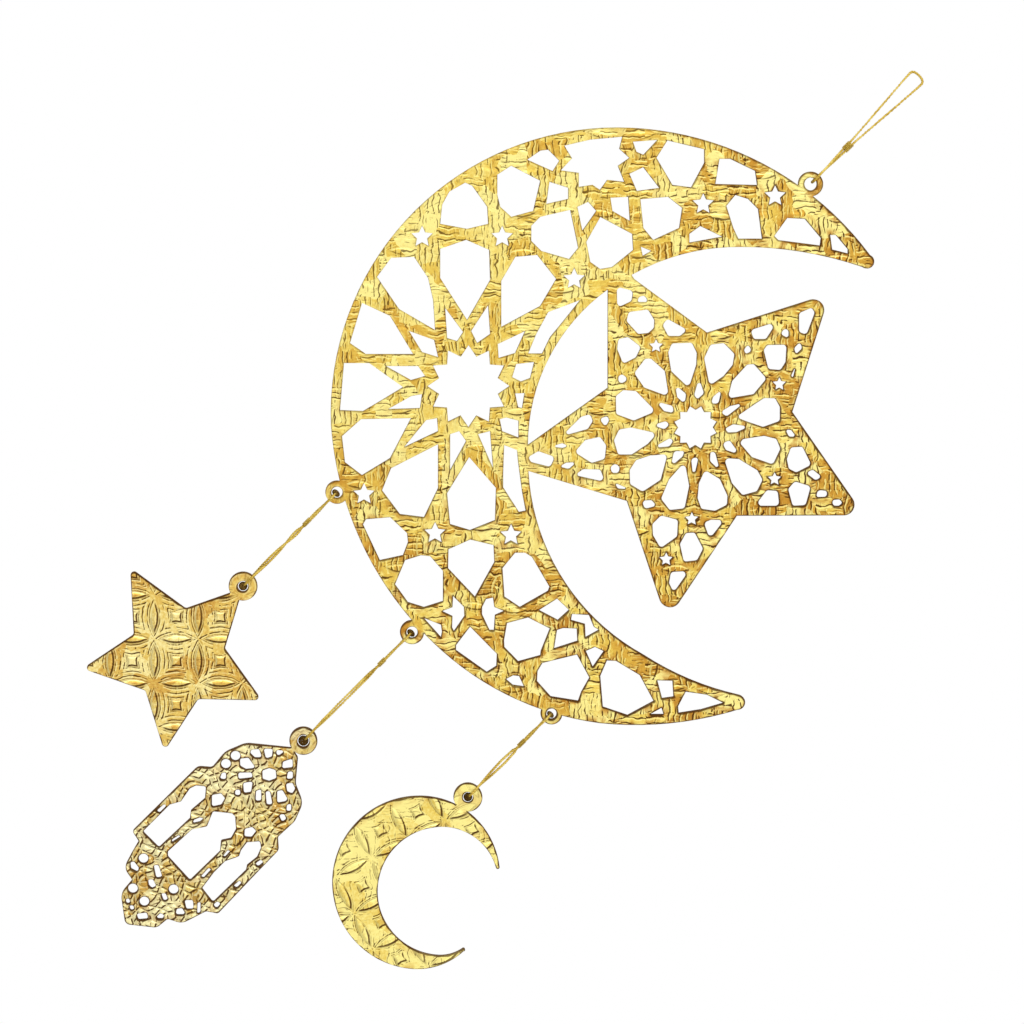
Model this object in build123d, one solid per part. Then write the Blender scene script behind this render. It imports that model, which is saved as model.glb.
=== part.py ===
from build123d import *
import math
import os

os.makedirs("parts", exist_ok=True)

# Eid crescent ornament: a pierced crescent and star plate, three pendants and four thread loops.
# Millimetres. +Z is up as it hangs, the front faces -Y, and the origin is the inside top of the hanging loop.
# The plates are drawn lying in the drawing frame (x right, y up, origin at the crescent's centre).
# The drawing is turned by HANG_TURN to bring it to the way it hangs.

# Sheet: a board core with a gold foil on each face
CORE_THICKNESS = 2.2
FOIL_THICKNESS = 0.1
HANG_TURN = 45.0

# Thread and its loops
THREAD_DIAMETER = 0.7
STRAND_GAP = 0.04
RIM_CLEARANCE = 0.06
FACE_CLEARANCE = 0.35
BEND_FULLNESS = 0.98
NECK_LENGTH = 6.0
NECK_SOFTNESS = 4.0
NECK_STRAIGHT = 0.8
HANG_LENGTH = 38.0
HANG_TWIST_LENGTH = 9.0
HANG_KNOT_ROOM = 1.0
HANG_SPREAD = 4.0
HANG_SOFTNESS = 12.0

# Knots: a wrapping wound round the two strands
KNOT_WALL = 0.35
KNOT_LENGTH = 2.4
KNOT_ROUNDING = 0.25
KNOT_FIT = 0.05

# Large crescent, drawing frame
CRESCENT_TOP = (0, 74.25)
CRESCENT_SHOULDER = (27.5, 68.0)
UPPER_TIP_OUTER = (60.0, 42.5)
UPPER_TIP_END = (60.9, 40.2)
UPPER_TIP_INNER = (58.2, 39.5)
UPPER_ARM_UNDERSIDE = (43.5, 43.2)
UPPER_ARM_CROWN = (27.5, 44.5)
UPPER_ARM_INNER = (13.5, 42.8)
MOUTH_TOP = (1.25, 38.0)
MOUTH_UPPER_LEFT = (-20.0, 17.4)
MOUTH_LEFT = (-25.5, -7.5)
MOUTH_LOWER_LEFT = (-17.5, -37.25)
MOUTH_BOTTOM = (3.5, -57.5)
LOWER_ARM_INNER = (17.5, -64.6)
LOWER_TIP_INNER = (27.5, -67.6)
LOWER_TIP_END = (28.9, -69.5)
LOWER_TIP_OUTER = (27.0, -71.3)
LOWER_ARM_OUTER = (12.5, -74.4)
CRESCENT_FOOT = (-7.5, -74.6)
CRESCENT_HEEL = (-27.3, -69.1)
CRESCENT_LOWER_BACK = (-44.6, -58.5)
CRESCENT_MIDDLE_BACK = (-63.4, -36.5)
CRESCENT_LEFT = (-74.75, 0)
CRESCENT_UPPER_BACK = (-58.1, 48.8)

# Star inside the crescent: corners in turn, then the roundings of its free tips
STAR_TIP_ROUNDING = 2.7
STAR_OUTLINE = {
    "upper left root": (-5.6, 39.0),
    "upper right root": (0.0, 38.0),
    "upper right side": (1.0, 36.5),
    "top notch": (19.25, 23.1),
    "upper right tip": (50.0, 32.9),
    "right notch": (40.6, 3.3),
    "lower right tip": (58.7, -22.6),
    "bottom right notch": (26.75, -22.7),
    "bottom tip": (9.25, -49.0),
    "bottom left notch": (-0.75, -19.0),
    "left lower root": (-27.0, -11.0),
    "left upper root": (-27.0, -6.0),
    "upper left notch": (-5.6, 9.3),
}
STAR_FREE_TIPS = ("upper right tip", "lower right tip", "bottom tip")

# Eyelets: centre in the drawing frame, outer radius, hole radius
HANG_EYELET = ((45.1, 60.25), 3.1, 1.6)
STAR_EYELET = ((-73.25, -16.75), 2.9, 1.4)
LANTERN_EYELET = ((-54.5, -51.75), 3.0, 1.4)
MOON_EYELET = ((-19.6, -72.2), 2.7, 1.3)
STAR_PENDANT_EYELET = ((-96.7, -40.2), 3.6, 1.3)
LANTERN_PENDANT_EYELET = ((-81.65, -78.9), 3.5, 1.5)
MOON_PENDANT_EYELET = ((-40.5, -93.1), 3.6, 1.3)

# Twelvefold star openings: centre, tip radius, inner radius, turn of the first tip
CRESCENT_ROSETTE = ((-40.4, 9.75), 10.25, 7.6, 0)
STAR_ROSETTE = ((16.4, -0.6), 5.5, 4.4, 15)

# Small five-pointed openings of the crescent: centres
SPARK_TIP_RADIUS = 2.8
SPARK_INNER_RADIUS = 1.35
SPARK_CENTRES = (
    (-52, 47), (-32, 47), (-14, 36.5), (-66.5, -17.25), (-48.75, -27), (-29.75, -27.5), (18.25, 55.25),
    (36.25, 57.25),
)

# Small five-pointed openings of the big star: centres
TWINKLE_TIP_RADIUS = 1.8
TWINKLE_INNER_RADIUS = 0.9
TWINKLE_CENTRES = ((37.4, 10.25), (36.25, -13.5), (15.5, -23.5), (9.1, -33.6), (6.5, 19.75))

# Openings of the crescent's strapwork, corner by corner
CRESCENT_CELLS = {
    "ninefold star": (
        (-16.5, 69.75), (-14.6, 66.6), (-17.4, 63.6), (-12.9, 63), (-12.9, 59.5), (-9.5, 60), (-7.6, 58.75),
        (-5.75, 61.25), (-1.5, 60.75), (-3.1, 64.75), (-0.25, 66.75), (-2.75, 69), (-2, 72), (-10, 71.25),
    ),
    "ninefold kite right": ((-5, 56.75), (-0.5, 57), (-0.1, 51), (-4.5, 53.5)),
    "ninefold kite low": ((-13.25, 54.5), (-10.5, 55.75), (-8.5, 53.5), (-12, 48.5)),
    "ninefold kite left": ((-20.25, 60.75), (-15.5, 59.25), (-15.5, 56.5), (-21, 55.25)),
    "ninefold kite far left": ((-25.75, 66.25), (-22.5, 68.5), (-20.5, 68.75), (-17.75, 66), (-19.4, 63.4)),
    "ninefold kite far right": ((-0.25, 62.75), (3.25, 64.4), (7.25, 59.25), (1.6, 58.5)),
    "ninefold kite top": ((0.6, 70.75), (6.75, 71.2), (3.25, 67.5), (1.5, 68.25)),
    "ninefold petal left": (
        (-15, 53.75), (-22.5, 52), (-24.75, 49.75), (-24.75, 46), (-22.25, 43.5), (-15.25, 41.5), (-13, 44.25),
    ),
    "ninefold petal low": (
        (-7.5, 52), (0.5, 47.75), (0.75, 43.75), (-4.5, 39.5), (-7.5, 39), (-10, 40.75), (-11, 45.75),
    ),
    "ninefold petal right": ((2.5, 56.4), (9.5, 57), (13, 54.25), (12.25, 49.25), (5.75, 46.25), (3.25, 49.25)),
    "ninefold petal far right": ((9.25, 71.1), (18.5, 68.9), (18.5, 65.5), (15.25, 59.4), (10.5, 60), (6.5, 66.75)),
    "ninefold petal far left": (
        (-33.25, 62.5), (-29.75, 64.75), (-22.5, 61), (-24.25, 53.5), (-29.75, 52), (-32.5, 54.5), (-33.25, 57.5),
    ),
    "crown cell": (
        (-47.5, 50.25), (-47, 55), (-45.25, 58.25), (-41.25, 60.5), (-39.5, 59.75), (-35.75, 54.5), (-35.5, 50.25),
        (-40.75, 49),
    ),
    "petal 90": ((-40.75, 26.25), (-47.5, 36.75), (-47.5, 44), (-41, 46.25), (-35.25, 43.75), (-35, 36.25)),
    "petal 60": ((-32.25, 24.5), (-32.25, 36), (-28.75, 42), (-23.25, 42.5), (-18.5, 36.5), (-22.5, 29.75)),
    "petal 120": (
        (-59.75, 41.75), (-54, 42), (-50.5, 36.75), (-49.25, 31.25), (-48.75, 23.75), (-57.75, 29), (-63.25, 37),
    ),
    "petal 150": ((-67, 30.5), (-60, 27.25), (-54.25, 17.75), (-66, 17.75), (-70, 20.5)),
    "petal 180": ((-71.5, 15.5), (-65.25, 15.5), (-56.75, 9.5), (-62.5, 6), (-66.75, 3.5), (-72.5, 3.75)),
    "petal 210": ((-67.25, 1.5), (-54.75, 1.75), (-60, -8.25), (-67, -12.5), (-71.25, -9.25), (-72, -2.75)),
    "petal 240": ((-48, -4.75), (-48, -15.75), (-51.5, -23), (-57.5, -22.25), (-62, -16.25), (-59.75, -10.75)),
    "petal 270": ((-40.25, -8), (-45.75, -17), (-45, -24.75), (-40, -26.25), (-33.75, -23.75), (-33.5, -15.75)),
    "petal 300": (
        (-31.5, -5), (-28.25, -6.25), (-28, -9), (-27, -16.5), (-26.1, -21.4), (-27.75, -21.75), (-31.75, -15.5),
        (-31.75, -12),
    ),
    "petal 30": (
        (-20.5, 28.25), (-12.5, 31.25), (-17.5, 25), (-20, 22), (-22, 17.9), (-25.5, 17.9), (-23.5, 22.75),
    ),
    "kite 165": ((-61, 14.75), (-53, 14.75), (-51.25, 12.25), (-54.75, 11.25)),
    "kite 195": ((-60.5, 4), (-54.75, 7.25), (-52, 7.75), (-52.5, 4.25)),
    "kite 135": ((-55.25, 23.5), (-49, 21.25), (-48, 17), (-52, 18.25)),
    "kite 105": ((-46.25, 29.25), (-41.75, 23.25), (-43.25, 21), (-45.75, 21.75)),
    "kite 75": ((-35.5, 30), (-35, 22.75), (-38.25, 20.5), (-39.75, 23.5)),
    "kite 45": ((-33.1, 20.25), (-26.25, 23.5), (-28.75, 18), (-32.9, 16.75)),
    "kite 15": ((-28.5, 15.25), (-24, 15.75), (-25, 11.75), (-27.25, 10.9), (-29.5, 12)),
    "kite 345": ((-28.75, 7.9), (-26.4, 8), (-27, 4.25), (-28, 4.5)),
    "kite 315": ((-32.6, 1.5), (-31, 1.9), (-27.9, 1.1), (-27.9, -3.1), (-32, -1.5)),
    "kite 285": ((-38, -2.25), (-35, -1.5), (-34.25, -10.75)),
    "kite 255": ((-45, -2.25), (-42.75, -1.5), (-41, -4), (-45, -11.25)),
    "kite 225": ((-51, 1.25), (-48.25, 1.75), (-48, -1.5), (-56.5, -5.5)),
    "left edge cell": (
        (-66, -23.5), (-60, -23), (-55.75, -27), (-55.5, -29.25), (-56.75, -32.5), (-62.5, -33.75), (-66.75, -24.75),
    ),
    "right arm cell one": ((22.25, 66.5), (25, 66.5), (31.25, 63.5), (31.75, 60), (21.25, 60.25)),
    "right arm cell two": (
        (24, 54.75), (26.25, 57.5), (29.5, 56.5), (32, 54), (33, 46.6), (27, 46.6), (25.75, 49.25),
    ),
    "right arm cell three": ((36, 47.25), (39.25, 51.75), (43.75, 51.5), (47.75, 46.75), (47.5, 44.9), (37, 46.25)),
    "right arm cell four": ((50, 47.5), (51.5, 47.5), (54.5, 44), (54.5, 42.9), (50.5, 43.9)),
    "right arm cell five": ((14.75, 45.6), (14.75, 47.75), (17.5, 49.75), (23, 47.1)),
    "right arm slot": ((2.6, 44.6), (5.25, 43.5), (3.1, 42.25)),
    "hexagon left": (
        (-56.25, -33.75), (-52.25, -32.5), (-50, -32.75), (-46.75, -36.5), (-46.75, -44), (-51.5, -45.5),
        (-55.5, -44.25), (-58.75, -39.75),
    ),
    "lower petal": ((-45.4, -31), (-40, -28.6), (-34.1, -30), (-33.9, -34.25), (-38.75, -42.9), (-45.5, -35.75)),
    "half star left": (
        (-44.25, -42.75), (-41.5, -45.5), (-41.4, -47.75), (-44, -51.5), (-44.5, -50.5), (-44.4, -47.75),
        (-47, -46.5), (-44.4, -45.5),
    ),
    "half star right": (
        (-36, -43.5), (-34.25, -43.1), (-33.9, -45.5), (-31.5, -46.5), (-33.75, -47.5), (-34, -51.25),
        (-35.1, -51.25), (-37, -47.25), (-37, -45.5),
    ),
    "lantern eyelet slot": ((-51.5, -48.25), (-47.25, -49.9), (-47, -51.75), (-47.25, -53)),
    "lower diamond": (
        (-40, -50.4), (-35.5, -55), (-33.25, -57.25), (-33.4, -60.25), (-35.75, -61.75), (-43.5, -56.25),
        (-43.5, -55),
    ),
    "mouth petal": (
        (-31.9, -35.75), (-28.75, -31.9), (-26.25, -31.9), (-24.5, -33), (-20.1, -40.5), (-20.5, -41.5),
        (-27.5, -45.5), (-31.4, -42.9),
    ),
    "mouth diamond": ((-22.75, -46.25), (-18.25, -43.4), (-15.25, -46.25), (-18, -48.75)),
    "mouth spark": (
        (-14.5, -47.25), (-10.25, -47.5), (-9, -50.5), (-7.75, -51.25), (-11.1, -53.1), (-11.25, -49.75),
        (-14.75, -48.75),
    ),
    "mouth cell": ((-18.25, -51.25), (-16.75, -50.75), (-13.25, -50.9), (-13.1, -54), (-19, -55.9)),
    "hexagon middle": (
        (-30.75, -49.5), (-25.5, -48.1), (-20, -50.9), (-22.25, -56.5), (-22.4, -57.6), (-27.9, -59.1),
        (-31.4, -55.5), (-31.5, -53.75),
    ),
    "hexagon right": (
        (-21.9, -59.5), (-13.25, -57.4), (-10.1, -63.25), (-12.1, -66.75), (-12.9, -69), (-19.75, -67.9),
        (-23.25, -64), (-23.1, -61.5),
    ),
    "foot spark": ((-31, -63.5), (-29.25, -62.6), (-27.75, -62.75), (-26.5, -65.4), (-29.25, -65)),
    "foot triangle": ((-11, -56.5), (-8.75, -55.5), (-6.5, -56.6), (-9.25, -60.5)),
    "foot hexagon": (
        (-7.4, -62.75), (-5.75, -58.9), (-3.5, -59), (2.5, -62.6), (6, -69.1), (-0.5, -72.6), (-6.75, -70.5),
    ),
    "tip cell": ((6.9, -63.9), (10.75, -64), (11, -68), (8.1, -68.4)),
    "tip slot": ((5, -72.4), (8, -70.75), (8.5, -72.4)),
    "tip wedge": ((14, -66.75), (19.25, -67.5), (23.5, -69.6), (18, -71.2), (12.25, -72.1), (12.1, -70.4)),
}

# Openings of the big star, corner by corner, with softened corners
STAR_CELL_ROUNDING = 0.9
STAR_CELLS = {
    "upper left wedge": ((-3.4, 34.6), (0.75, 33.5), (0.4, 31), (-3.25, 29.25)),
    "upper left chip": ((1.75, 30.75), (2.1, 32), (3.4, 32.4), (4.25, 31.6), (4.25, 30.75)),
    "upper left round": (
        (-0.4, 28.25), (4.5, 28.9), (6.1, 26.25), (6, 24.25), (4.6, 23), (2, 22.75), (-0.95, 26),
    ),
    "top notch cell": ((8.1, 25), (9.25, 26.6), (14.4, 23.75), (12.5, 22.25), (9.5, 22.25)),
    "left side cell": ((-3, 21.5), (-0.5, 22), (2.75, 19.5), (1.5, 16.9), (-1.75, 15.25), (-3.25, 19)),
    "left side chip": ((-2.9, 13.25), (0, 11.4), (-3, 10)),
    "petal 135": ((1, 13), (3.75, 16.6), (5.25, 16.6), (8.75, 13.5), (9.75, 7.1), (3.5, 9.4)),
    "petal 165": ((-3.6, 7.25), (-1.75, 8.75), (1.5, 8.5), (6.5, 3.4), (1, 1.1), (-3.5, 2.75)),
    "petal 105": (
        (9.5, 18.25), (10.4, 20.4), (15.5, 20.6), (16.75, 18), (16.6, 15), (14.75, 9.25), (10.25, 13.5),
    ),
    "petal 75": (
        (18.5, 16.75), (20.1, 20.1), (23.5, 20.5), (26.2, 17.75), (25.75, 15), (23.5, 12.25), (19.9, 9.75),
    ),
    "kite 90": ((17.25, 11.9), (18.6, 7.9), (16.9, 6.4), (16, 7.5)),
    "kite 120": ((11.25, 10.1), (14.1, 7.75), (13.75, 5.25), (11.75, 7)),
    "kite 150": ((6.5, 5.9), (10.75, 4.75), (11, 3), (8.5, 3.5)),
    "kite 180": ((5.6, 0), (9, 1), (9.9, 0.1), (8.75, -1.1)),
    "kite 210": ((5.5, -5.75), (10, -3.25), (10.9, -4), (9.9, -5.4)),
    "kite 240": ((11, -6.5), (13.75, -6.5), (13.25, -7.9), (10.1, -10.6)),
    "kite 270": ((15.25, -8.25), (17.25, -8.1), (15.9, -13.9)),
    "kite 300": ((20.1, -6.6), (21.4, -6.9), (22.6, -11.5), (20, -9)),
    "kite 330": ((23.1, -4.5), (25, -3.8), (27.5, -7.4), (24, -6.25)),
    "kite 0": ((23.75, -0.9), (25.75, 0.2), (30, -0.4), (26.75, -1.8), (24.5, -1.9)),
    "kite 30": ((22.6, 3.25), (25, 4.75), (28.75, 5.6), (24.25, 2.1)),
    "kite 60": ((20.25, 5.4), (20.75, 7.1), (23, 9), (22.2, 5.3)),
    "petal 195": ((-4.05, -3.75), (-2.75, -1.1), (0.25, -0.6), (6.9, -2.1), (4.5, -4.75), (0.5, -7.4), (-3, -7.4)),
    "petal 225": ((-0.1, -11.25), (1.5, -8.75), (5, -7.6), (9.5, -7.25), (7.75, -13.75), (3.25, -16.7), (0, -14.75)),
    "left arm round": ((-13.9, -6.75), (-11.25, -3.75), (-7.5, -2.9), (-5.9, -5.1), (-6.25, -8.5), (-9.5, -9.5)),
    "left arm upper": ((-16.1, -1.75), (-12.25, 2.1), (-10, 2.75), (-9.25, 1), (-10.5, -1), (-15.5, -2.4)),
    "left arm chip": ((-7.75, 1.6), (-5.75, 2.25), (-5.1, 1.25), (-6.1, -0.5)),
    "left arm lower": ((-13.9, -12.5), (-11.75, -11), (-7.4, -11.1), (-6.2, -14.25)),
    "left notch sliver": ((-3.9, -14.4), (0, -16.1), (-3, -15.9)),
    "left notch chip": ((-5, -10.5), (-3.75, -9.6), (-2.5, -10.5), (-2.75, -12), (-4.5, -12)),
    "left tip cell": ((-25.5, -8), (-23, -6.5), (-18.75, -8), (-19.9, -10.5), (-24.75, -9.25)),
    "left tip sliver": ((-19.75, -5.4), (-17, -4.5), (-15.5, -5.25), (-16.75, -5.75)),
    "left tip wedge": ((-17.75, -10.4), (-16, -9.4), (-13.25, -9.25), (-15.25, -11)),
    "bottom notch chip": ((2.9, -18.9), (5.4, -18.75), (6.75, -20.25), (3.75, -21)),
    "petal 255": ((13.75, -9.1), (14.9, -15.25), (13.75, -20.9), (10, -21.3), (7.75, -18.4), (9.75, -13.6)),
    "petal 285": (
        (18.75, -11.25), (22.6, -13.6), (24.5, -17.75), (24.4, -20), (21.4, -21.5), (17.9, -21), (16.9, -18.25),
        (17.25, -14.5),
    ),
    "petal 315": (
        (23.5, -8.25), (27.25, -8.5), (32, -11.4), (33.3, -13.75), (31.9, -16.6), (28.25, -17.6), (25.5, -14.5),
    ),
    "petal 345": (
        (27.5, -4.5), (28.25, -3.5), (33.5, -2.7), (36.75, -3.5), (37.75, -6), (35.9, -9.9), (30.5, -8),
    ),
    "petal 15": (
        (26.5, 2), (31, 5.1), (33.5, 6.75), (36.4, 6.7), (37.6, 4.5), (37.6, 1), (33.4, -0.5), (29, 1),
    ),
    "petal 45": ((24.4, 6.6), (25.5, 11), (29.25, 15.1), (31, 15.25), (34.25, 11.6), (31, 7.7)),
    "upper right long": ((30.1, 23.75), (36.9, 25.9), (34.1, 21.5), (30.9, 21.5)),
    "upper right chip": ((37.6, 22.75), (38.5, 24.1), (39.75, 23.75), (39.75, 21.6)),
    "upper right square": ((33.4, 18.75), (34.25, 20), (39.25, 20.1), (39, 15.75), (37.75, 13.75), (34.6, 14)),
    "upper right tip cell": ((42.25, 28), (45.5, 29.4), (46.3, 28.1), (44.25, 22.6), (42.25, 23.25)),
    "upper right side chip": ((41, 19.25), (42.5, 20.75), (43.25, 19.25), (41.5, 17.6)),
    "upper right inner chip": ((28.4, 18.75), (29.5, 20.25), (30.6, 18.5), (29, 17.75)),
    "right notch sliver": ((40.25, 12.25), (41.7, 15.4), (40.9, 11.9)),
    "right notch chip": ((38.9, -1.1), (40.4, -1.25), (41.75, -3), (39.75, -2.9)),
    "lower right upper": ((39.25, -8.5), (40.25, -5.6), (43.25, -5.4), (45.5, -10), (41.75, -11.9), (39.75, -10.9)),
    "lower right side chip": ((44.1, -12), (45.75, -11.1), (48.1, -13), (46.6, -13.9)),
    "lower right square": ((39.6, -16), (41.25, -14.1), (45.4, -15.4), (44.1, -20.1), (40.75, -20.25)),
    "lower right chip": ((46.5, -18.1), (47.1, -16.25), (49.5, -16.5), (49.4, -18)),
    "lower right tip cell": ((50.6, -18.75), (52.5, -18.6), (53.4, -19.5), (52.5, -20.25), (50.9, -20.25)),
    "lower right wedge": ((31.25, -20.25), (34.25, -16.3), (37.1, -16.5), (37.5, -20.25)),
    "bottom right wedge": ((18.5, -24.4), (20.25, -23.7), (23.75, -23.75), (20, -28.6)),
    "bottom left cell": ((5.6, -24.75), (7.75, -22.6), (12.1, -23.75), (11.9, -27.9), (7.75, -30.9), (5.75, -27.5)),
    "bottom round": ((12.5, -29.75), (14, -27), (16.25, -26.9), (18.4, -31), (16.9, -33.9), (13.5, -34.25)),
    "bottom tip wedge": ((10.25, -36.75), (14.9, -36.5), (11, -42), (9.8, -39.5)),
}

# Small star pendant: corners in turn, drawing frame
STAR_PENDANT_ROUNDING = 0.9
STAR_PENDANT_TIPS = ((-124.85, -35.6), (-96.75, -40.75), (-92, -68.75), (-116.4, -81.5), (-136.75, -60.75))
STAR_PENDANT_NOTCHES = ((-111, -45.75), (-101.25, -55.75), (-107.9, -68.4), (-121.1, -66.25), (-124, -52.25))

# Small crescent pendant: the ends and middles of its arcs, drawing frame
MOON_TOP = (-52.75, -92.8)
MOON_LEFT = (-74.45, -114.5)
MOON_BOTTOM = (-52.75, -136.2)
MOON_LOWER_HORN_OUTER = (-46.25, -134.75)
MOON_LOWER_TIP_OUTER = (-41.6, -131.75)
MOON_LOWER_TIP_END = (-41.2, -131.3)
MOON_LOWER_TIP_INNER = (-41.9, -131.1)
MOON_LOWER_HORN_INNER = (-44.5, -132.35)
MOON_MOUTH_BOTTOM = (-48.0, -132.75)
MOON_MOUTH_LEFT = (-63.1, -116.5)
MOON_MOUTH_TOP = (-47.25, -100.5)
MOON_UPPER_HORN_INNER = (-38.25, -103.6)
MOON_UPPER_TIP_INNER = (-33.5, -110.75)
MOON_UPPER_TIP_END = (-33.0, -111.1)
MOON_UPPER_TIP_OUTER = (-32.6, -110.5)
MOON_UPPER_HORN_OUTER = (-38.5, -98.5)

# Lantern pendant: outline corners in turn, each with its rounding, drawing frame
LANTERN_OUTLINE = {
    "dome apex left": ((-84.5, -80.6), 1.0),
    "dome upper left": ((-96.0, -79.4), 5.0),
    "dome left": ((-101.2, -81.6), 5.0),
    "collar left": ((-104.4, -85.5), 1.2),
    "shoulder left": ((-108.0, -85.2), 2.0),
    "body lower left": ((-124.4, -101.4), 0.8),
    "base left": ((-122.8, -103.9), 0.5),
    "lobe one top": ((-124.6, -107.0), 2.0),
    "lobe one": ((-126.5, -110.6), 2.6),
    "lobe one notch": ((-124.4, -113.6), 0.4),
    "lobe two": ((-127.3, -117.0), 3.5),
    "foot left": ((-126.2, -124.7), 1.5),
    "foot middle": ((-118.3, -125.6), 2.0),
    "foot notch": ((-115.6, -123.4), 0.8),
    "lobe three": ((-112.0, -124.6), 3.5),
    "lobe three notch": ((-106.0, -121.5), 1.5),
    "base right": ((-103.0, -122.1), 0.8),
    "body middle right": ((-93.2, -111.8), 4.0),
    "body upper right": ((-87.8, -106.2), 1.5),
    "shoulder right": ((-88.0, -102.9), 0.8),
    "collar right": ((-83.8, -99.0), 3.0),
    "dome right": ((-81.7, -94.4), 4.0),
    "dome upper right": ((-83.6, -89.6), 4.0),
    "dome apex right": ((-83.0, -83.0), 1.0),
}
LANTERN_CELL_ROUNDING = 0.5
LANTERN_DOT_RADIUS = 1.2
LANTERN_DOTS = (
    (-101, -84.6), (-98.6, -82.6), (-121.6, -108.25), (-114.1, -116), (-124.25, -115.75), (-121.4, -119),
)
LANTERN_CELLS = {
    "left window": (
        (-106, -90.25), (-108.5, -90), (-110, -90.75), (-112.25, -94), (-115, -94.75), (-121.75, -101.5),
        (-117.75, -105.5), (-110, -98.25), (-109.75, -96.25), (-106.25, -93.25),
    ),
    "middle window": (
        (-104.25, -96.5), (-105.75, -100.25), (-109.5, -101), (-115.5, -106.5), (-115.5, -107.75), (-110, -113.75),
        (-102.5, -106.5), (-102.25, -103.75), (-99.75, -103.25), (-98.5, -101), (-98.75, -97.75), (-99.5, -97),
    ),
    "right window": (
        (-95.75, -104.25), (-92.5, -104), (-92.25, -105.75), (-93.25, -108), (-95.75, -110), (-96, -111.25),
        (-104.25, -119.25), (-107, -115.75), (-104, -111.75), (-101.25, -109), (-97.75, -107.75), (-97.25, -106.25),
    ),
    "dome cell one": ((-97.5, -83.3), (-95.4, -83.1), (-93.5, -85.75), (-96, -86), (-97.4, -85.2)),
    "dome cell two": ((-94.75, -81.1), (-92.75, -80.9), (-92, -83.1), (-93.75, -83.1), (-94.9, -82)),
    "dome cell three": ((-91.6, -80.8), (-89.3, -80.9), (-89.5, -82.9), (-91, -83.4)),
    "dome cell four": ((-88.5, -81.1), (-86, -81.4), (-88.2, -82.9)),
    "dome cell five": ((-86.75, -84.1), (-84.4, -83.3), (-84.3, -85.6), (-87, -85.9)),
    "dome cell six": ((-85.5, -86.6), (-84.3, -86.5), (-84.3, -88.4), (-85.9, -88.6)),
    "dome cell seven": ((-86, -89.6), (-84.4, -89.4), (-83.7, -90.9), (-84.4, -92.2), (-85.7, -91.6)),
    "dome heart": ((-91.9, -86.3), (-90.2, -85.7), (-88.6, -86.2), (-88.4, -88.3), (-90.2, -89), (-91.8, -88.5)),
    "dome cell nine": ((-97.9, -86.8), (-94.6, -86.8), (-94.3, -88.1), (-97.9, -88.5)),
    "dome cell ten": ((-96.7, -89.4), (-94.3, -89), (-94.75, -91.75), (-96.5, -92)),
    "dome cell eleven": ((-93.5, -91.4), (-92.2, -90.9), (-92.2, -93.9), (-93.6, -94)),
    "dome cell twelve": ((-91.1, -91.5), (-90, -91.5), (-89.4, -94.9), (-90.8, -94.9)),
    "dome cell thirteen": ((-88.2, -91.4), (-86.9, -91.2), (-85.6, -93.5), (-86.1, -94.1), (-88.2, -94.5)),
    "dome cell fourteen": ((-87.75, -97.4), (-86.5, -97.2), (-85.9, -98.5), (-87, -99.3)),
    "dome cell fifteen": ((-85.8, -94.9), (-84.7, -94.6), (-84.7, -96.5), (-85.9, -96.6)),
    "dome cell sixteen": ((-102.6, -88.4), (-102, -86.9), (-101, -86.7), (-101, -88.6)),
    "collar dot": ((-98.7, -91.2), (-97.5, -91), (-97.4, -92.6), (-98.7, -92.5)),
    "collar cell left": ((-104.5, -92.4), (-102.2, -92), (-101.2, -93.3), (-102.2, -94.9), (-104.5, -95.4)),
    "collar cell right": ((-96.3, -100.9), (-94.5, -100.4), (-93.4, -101.5), (-94.6, -103), (-96.4, -102.9)),
    "left bar slot": ((-118.3, -96.3), (-116.4, -94.6), (-115.9, -95.2), (-117.6, -96.9)),
    "left post slot": ((-114.6, -104.3), (-114.4, -103.5), (-112.75, -102.4), (-112.4, -102.9)),
    "left post head": ((-109.3, -99.5), (-109, -98.6), (-107.5, -98), (-106.5, -98.3), (-107.5, -99.1)),
    "right post slot": ((-107.3, -112.8), (-105.3, -110.6), (-104.7, -111.1), (-106.6, -113.2)),
    "right post head": ((-101.8, -107.8), (-100.6, -106.2), (-99.9, -106.5), (-101.2, -107.9)),
    "right bar slot": ((-99.2, -115.2), (-97.6, -113.8), (-97.1, -114.5), (-98.3, -115.7)),
    "right bar head": ((-93.7, -109.6), (-92.3, -108.6), (-91.6, -109.3), (-93, -110.4)),
    "right bar foot": ((-104.2, -119.9), (-103.2, -119), (-102.3, -119.7), (-103.4, -120.9)),
    "base cell two": ((-124.9, -109.2), (-124, -109), (-122.8, -110.5), (-123, -111.7), (-124.7, -110.8)),
    "base cell three": ((-119.1, -109.9), (-117.9, -109.9), (-116.9, -112.9), (-118.4, -113.2)),
    "base cell four": ((-120.5, -113.5), (-119.25, -113.5), (-118.4, -115.25), (-119.5, -115.75), (-120.25, -115)),
    "base cell five": ((-126.1, -118.5), (-125.2, -118.2), (-124.9, -119.4), (-125.8, -119.6)),
    "base cell six": ((-117.25, -117), (-116.1, -117), (-115.5, -118.5), (-116.5, -119)),
    "base cell seven": ((-125.2, -120.1), (-124.2, -119.9), (-123.9, -121), (-124.8, -121.3)),
    "base cell nine": ((-123.4, -122.1), (-120.8, -121.8), (-120.4, -123.4), (-122.9, -123.6)),
    "base cell ten": ((-118.7, -123.3), (-117.4, -121.9), (-116.4, -122.5), (-116.8, -123.4)),
    "base cell eleven": ((-113.3, -120.9), (-112, -120.7), (-111, -122.4), (-113.6, -122.4)),
    "base cell twelve": ((-111.4, -118.7), (-109.3, -118.7), (-109.1, -121), (-110.9, -121)),
    "base sliver": ((-108.1, -119.4), (-107.4, -119.2), (-107.4, -121.8), (-108.2, -122.2)),
}

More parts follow.
